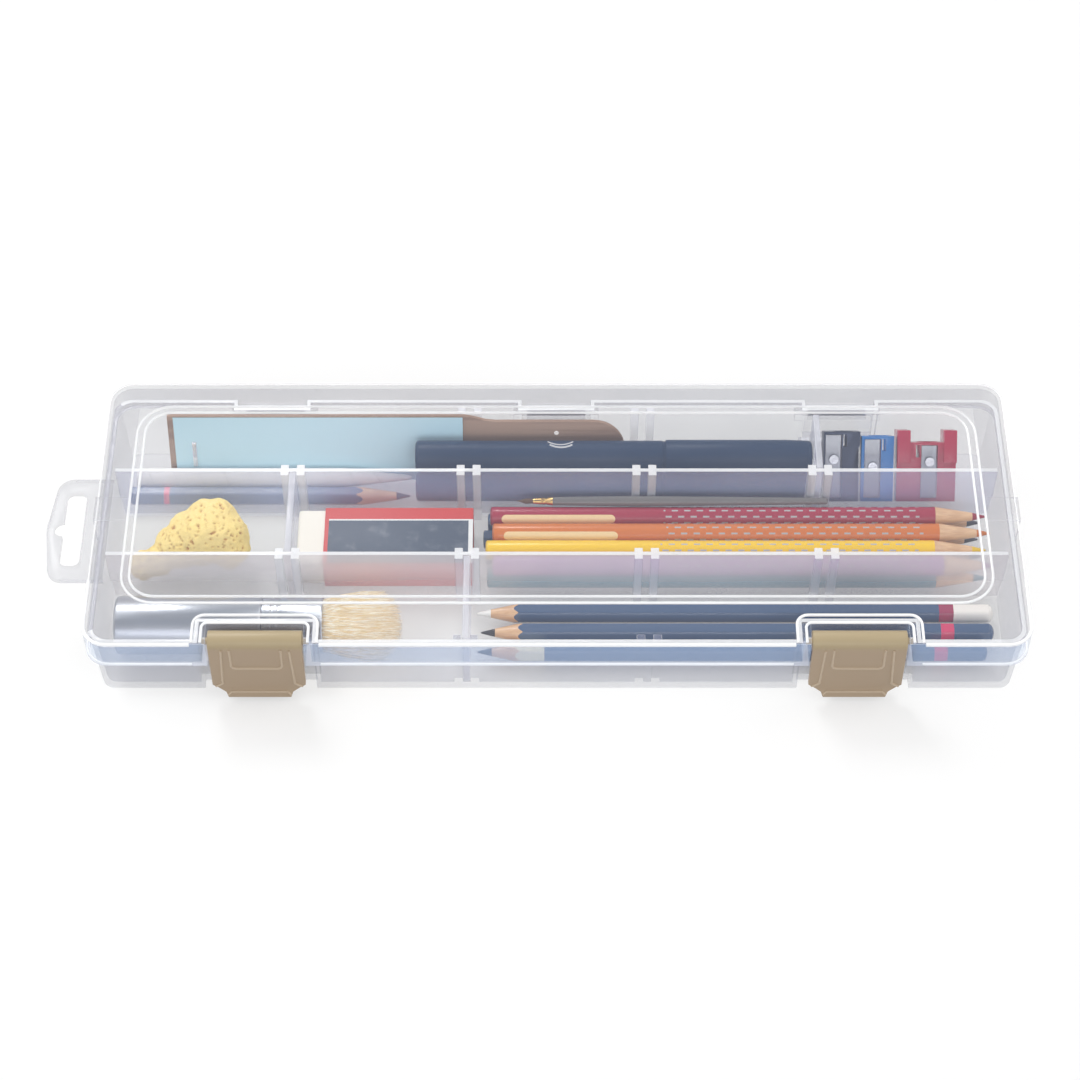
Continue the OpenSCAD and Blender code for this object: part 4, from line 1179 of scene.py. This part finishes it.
def make_blades():
    """Ground blades, each held by a screw."""
    blades, screws = bmesh.new(), bmesh.new()
    for node, sizes in SHARPENERS.items():
        place = (sharpener_place(node) @ Matrix.Translation(Vector((sizes["blade"], 0, FOOT_HEIGHT)) * MM)
                 @ Matrix.Rotation(FACE_TILT, 4, "X"))
        add_mesh(blades, bevelled_blade(sizes, place))
        centre = place @ Matrix.Translation(Vector((BLADE_WIDTH / 2, sizes["screw"], 0)) * MM)
        add_mesh(screws, screw_head(centre))
    finish_piece("sharpener_blade_set", blades, [ground_steel()], BODY, ["sharpener_blades"])
    bright = Finish("screw_steel", (0.62, 0.63, 0.66), 0.2).set(Metallic=1.0)
    bright.grained(2000, 0.03, 0.4)
    finish_piece("sharpener_screw_set", screws, [bright], BODY, ["sharpener_screws"])


def make_sharpeners():
    make_sharpener("metal_sharpener", coated_metal(), scoop=2.6)
    make_sharpener("blue_sharpener", shiny_plastic("blue_plastic", (0.008, 0.17, 0.52)))
    make_sharpener("red_sharpener", shiny_plastic("red_plastic", (0.45, 0.01, 0.055)))
    make_blades()


# ---- sponge and eraser ----

def sponge_finish():
    finish = Finish("natural_sponge", (1.0, 0.75, 0.21), 0.95)
    attribute = finish.tree.nodes.new("ShaderNodeAttribute")
    attribute.attribute_name = "pore"
    pore = Shade(finish.tree, attribute.outputs["Fac"])
    finish.paint(finish.noise(120, 3) * 0.6, (1.0, 0.82, 0.40))
    # painted shade: darker brown deep in the pores, where shade falls
    finish.paint(pore.smooth(0.1, 0.8), (0.62, 0.34, 0.09))
    return finish.bump(finish.noise(1400, 4, roughness=0.7), 0.3 * MM)


# Round lumps as (x, y, z, radius) in mm from the low corner of the sponge's box
LUMPS = [(6.5, 6.5, 6.0, 5.8), (12, 7.5, 7.0, 6.2), (19, 12, 9.6, 8.6), (27, 14.5, 12, 10.4),
         (35, 14.5, 12, 9.4), (33, 19.6, 16.4, 7.0), (28, 20, 15.6, 7.0), (22.5, 17, 12, 7.8),
         (37, 11, 9.6, 7.6)]
SPONGE_GRAIN = 0.45  # mm between the points of the sponge's mesh
PORE_SEED = 5  # noise_vector draws its offsets from the clock unless it is given a seed


def joined_lumps(corner):
    """The lumps melted into one soft form."""
    bm = bmesh.new()
    for x, y, z, radius in LUMPS:
        place = Matrix.Translation(corner + Vector((x, y, z)) * MM)
        bmesh.ops.create_icosphere(bm, subdivisions=4, radius=radius * MM, matrix=place)
    holder = object_of("lumps", bm)
    remesh = holder.modifiers.new("remesh", "REMESH")
    remesh.mode = "VOXEL"
    remesh.voxel_size = SPONGE_GRAIN * MM
    bm = modified_shape(holder)
    bpy.data.objects.remove(holder)
    for _ in range(8):
        bmesh.ops.smooth_vert(bm, verts=bm.verts, factor=0.5, use_axis_x=True, use_axis_y=True,
                              use_axis_z=True)
    bm.normal_update()
    return bm


def pore_depth(spot):
    """0 on the sponge's skin and 1 in the middle of a pore; spot is in mm."""
    large = noise.voronoi(spot / 3.2 + noise.noise_vector(spot / 4) * 0.3)[0][0]
    small = noise.voronoi(spot / 1.5)[0][0]
    return min(1.0, 1.3 * max(0.0, 1 - large / 0.30) + 0.9 * max(0.0, 1 - small / 0.40))


def make_sponge():
    """A pitted natural sponge, kept inside the box of its solid."""
    low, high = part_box("sponge")
    bm = joined_lumps(low)
    layer = bm.verts.layers.float.new("pore")
    noise.seed_set(PORE_SEED)
    moves = []
    for vert in bm.verts:
        spot = vert.co / MM
        swell = sum(noise.noise(spot / size) * height for size, height in ((8, 1.5), (3.0, 0.7), (1.1, 0.25)))
        vert[layer] = pore = pore_depth(spot)
        moves.append(vert.normal * (swell * 0.6 - 0.5 - 1.3 * pore) * MM)
    for vert, move in zip(bm.verts, moves):
        vert.co += move
        for axis in range(3):
            vert.co[axis] = min(max(vert.co[axis], low[axis]), high[axis])
    finish_piece("yellow_sponge", bm, [sponge_finish()], BODY, ["sponge"], smooth=180)


def printed_card(low, high):
    """Red card; its top has a dark field with a white line behind it."""
    card = Finish("sleeve_card", (0.62, 0.05, 0.045), 0.45, (low.x, low.y, high.z))
    x, y, z = card.axes()
    across = y / (high.y - low.y)
    top = z > -0.3 * MM
    card.paint(top * (across < 0.79) * (x > 1.4 * MM), (0.84, 0.84, 0.84))
    field = top * (across < 0.765) * x.between(1.4 * MM, high.x - low.x - 1.6 * MM)
    card.paint(field, (0.055, 0.08, 0.125))
    worn = card.noise(110, 5, roughness=0.65).smooth(0.48, 0.72)
    card.paint(field * worn * 0.7, (0.16, 0.19, 0.24))
    line = (y < 0.3 * MM) * z.between(-9.5 * MM, -9.0 * MM) * x.between(5 * MM, 36 * MM)
    card.paint(line, (0.25, 0.06, 0.08))
    return card.grained(900, 0.03)


def make_eraser():
    bm = merged_copy("eraser_block")
    round_edges(bm, 1.0 * MM, segments=3, angle=40)
    vinyl = Finish("eraser_vinyl", (0.90, 0.86, 0.78), 0.6)
    vinyl.paint(vinyl.noise(150, 3) * 0.25, (0.82, 0.77, 0.69)).bump(vinyl.noise(700, 3), 0.05 * MM)
    finish_piece("white_eraser", bm, [vinyl], BODY, ["eraser_block"])
    bm = merged_copy("eraser_sleeve")
    round_edges(bm, 0.2 * MM, angle=40)
    finish_piece("card_sleeve", bm, [printed_card(*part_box("eraser_sleeve"))], BODY,
                 ["eraser_sleeve"])


# ---- brushes ----

GROOVES, GROOVE_DEPTH = (3.0, 5.2), 0.35        # round the ferrule, in mm from its start
BRISTLES, BRISTLE_SEED = 1500, 7
ROOT_RADIUS, SPLAY_RADIUS, BEND = 8.4, 11.6, 1.1  # of the tuft, in mm
STRAND = (0.16, 0.17, 0.14, 0.04)               # radius at the root, on the way and at the tip
GOLDEN_TURN = 2.39996                           # radians between one strand and the next


def satin_metal(name, colour, roughness=0.28):
    finish = Finish(name, colour, roughness).set(Metallic=1.0)
    return finish.bump(finish.noise(700, 2, stretch=(0.04, 1, 1)), 0.03 * MM, 0.4)


def make_blending_brush():
    low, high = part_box("blender_brush_handle")
    radius = (high.z - low.z) / 2
    tube = rounded_end(low.x, radius, 1.0 * MM, 1)
    tube += points_from(high.x, (-0.6, radius), (-0.2, radius - 0.3 * MM), (0, radius - 0.5 * MM), (0, 0.0))
    turned_piece("blending_brush_tube", tube, satin_metal("satin_tube", (0.62, 0.64, 0.68)),
                 "blender_brush_handle", "blender_brush_handle", 64)
    low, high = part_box("blender_brush_ferrule")
    ring = radius - 0.3 * MM
    start, floor = low.x + 0.05 * MM, ring - GROOVE_DEPTH * MM
    ferrule = points_from(start, (0, 0.0), (0, ring - 0.4 * MM), (0.4, ring))
    for groove in GROOVES:
        ferrule += points_from(start + groove * MM, (0, ring), (0.4, floor), (0.8, floor), (1.2, ring))
    ferrule += points_from(high.x, (-0.9, ring), (-0.5, ring + 0.15 * MM), (-0.1, ring),
                           (0, ring - 0.3 * MM), (-1.0, ring - 1.0 * MM), (-3, 0.0))
    turned_piece("blending_brush_ferrule", ferrule, satin_metal("bright_ferrule", (0.70, 0.72, 0.75), 0.2),
                 "blender_brush_ferrule", "blender_brush_handle", 64)


def add_strand(bm, points, floor):
    """A three-sided strand along points, held above floor."""
    rings = []
    for point, radius in zip(points, STRAND):
        point.z = max(point.z, floor)
        rings.append([bm.verts.new(point + Vector((0, math.cos(a), math.sin(a))) * radius * MM)
                      for a in (0.0, 2.094, 4.189)])
    for one, two in zip(rings, rings[1:]):
        for k in range(3):
            bm.faces.new((one[k], one[(k + 1) % 3], two[(k + 1) % 3], two[k]))
    bm.faces.new(rings[0][::-1])
    bm.faces.new(rings[-1])


def make_bristles():
    """A tuft of separate hog bristles, splayed and a little crossed at the tips."""
    low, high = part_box("blender_brush_bristles")
    middle = centre_of("blender_brush_handle")
    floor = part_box("blender_brush_handle")[0].z + 0.3 * MM
    mouth = low.x - 2.5 * MM
    rng = random.Random(BRISTLE_SEED)
    bm = bmesh.new()
    for i in range(BRISTLES):
        spread = math.sqrt((i + 0.5) / BRISTLES)
        turn = i * GOLDEN_TURN
        aside = Vector((0, math.cos(turn), math.sin(turn)))
        root = Vector((mouth, middle.y, middle.z)) + aside * ROOT_RADIUS * MM * spread
        reach = (high.x - mouth) * (1 - 0.20 * spread ** 3 - rng.uniform(0, 0.08))
        tip = Vector((mouth + reach, middle.y, middle.z)) + aside * SPLAY_RADIUS * MM * spread
        tip += Vector((0, rng.gauss(0, 0.6), rng.gauss(0, 0.6))) * MM
        bend = aside * BEND * MM * spread + Vector((0, rng.gauss(0, 0.35), rng.gauss(0, 0.35))) * MM
        add_strand(bm, [root, root.lerp(tip, 0.35) + bend * 0.8, root.lerp(tip, 0.7) + bend, tip], floor)
    bmesh.ops.recalc_face_normals(bm, faces=bm.faces)
    hair = Finish("hog_bristle", (0.80, 0.63, 0.38), 0.45)
    hair.paint(hair.noise(1500, 2, stretch=(0.05, 1, 1)).smooth(0.45, 0.6), (1.0, 0.99, 0.90))
    hair.set(Subsurface_Weight=0.35, Subsurface_Scale=0.002, Subsurface_Radius=(1, 0.8, 0.5))
    # light passes through pale hair, so the strands don't shade each other
    tuft = finish_piece("bristle_tuft", bm, [hair], BODY, ["blender_brush_bristles"])
    tuft.visible_shadow = False


def make_detail_brush():
    axis = "detail_brush_handle"
    low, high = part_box("detail_brush_tip")
    hair = Finish("fine_hair", (0.10, 0.045, 0.02), 0.6)
    hair.bump(hair.noise(3000, 2, stretch=(0.04, 1, 1)), 0.1 * MM)
    tip = points_from(low.x, (0, 0.0), (1.5, 0.3 * MM))
    tip += points_from(high.x, (-2.5, 0.95 * MM), (0, 0.85 * MM), (0.5, 0.0))
    turned_piece("detail_hair", tip, hair, "detail_brush_tip", axis, 20)
    low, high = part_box("detail_brush_ferrule")
    brass = points_from(low.x, (0, 0.0), (0, 0.95 * MM), (2.6, 1.2 * MM))
    for at in (3.0, 4.4):
        brass += points_from(low.x, (at, 1.25 * MM), (at + 0.3, 1.05 * MM), (at + 0.6, 1.3 * MM))
    brass += points_from(high.x, (0, 1.6 * MM), (0, 0.0))
    turned_piece("detail_ferrule", brass, satin_metal("brass_ferrule", (0.78, 0.52, 0.20), 0.22),
                 "detail_brush_ferrule", axis, 24)
    low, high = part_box(axis)
    lacquered = Finish("brush_lacquer", (0.16, 0.15, 0.15), 0.25).set(Coat_Weight=0.5)
    lacquered.paint(lacquered.noise(300, 2) * 0.3, (0.10, 0.10, 0.10))
    shaft = points_from(low.x, (0, 0.0), (0, 1.5 * MM), (27, 1.9 * MM), (60, 1.6 * MM))
    shaft += rounded_end(high.x, 1.2 * MM, 0.8 * MM, -1)[::-1]
    turned_piece("detail_handle", shaft, lacquered, axis, axis, 24)


make_camera()
make_world()
make_lamps()
make_floor()
make_lid()
make_gate_mark()
make_tray()
make_dividers()
for side in ("left", "right"):
    make_latch(side)
make_coloured_pencils()
make_drawing_pencils()
make_pens()
make_stump()
make_paddle_board()
make_paddle_paper()
make_staple()
make_sharpeners()
make_sponge()
make_eraser()
make_blending_brush()
make_bristles()
make_detail_brush()

bpy.context.scene.view_settings.view_transform = "Standard"
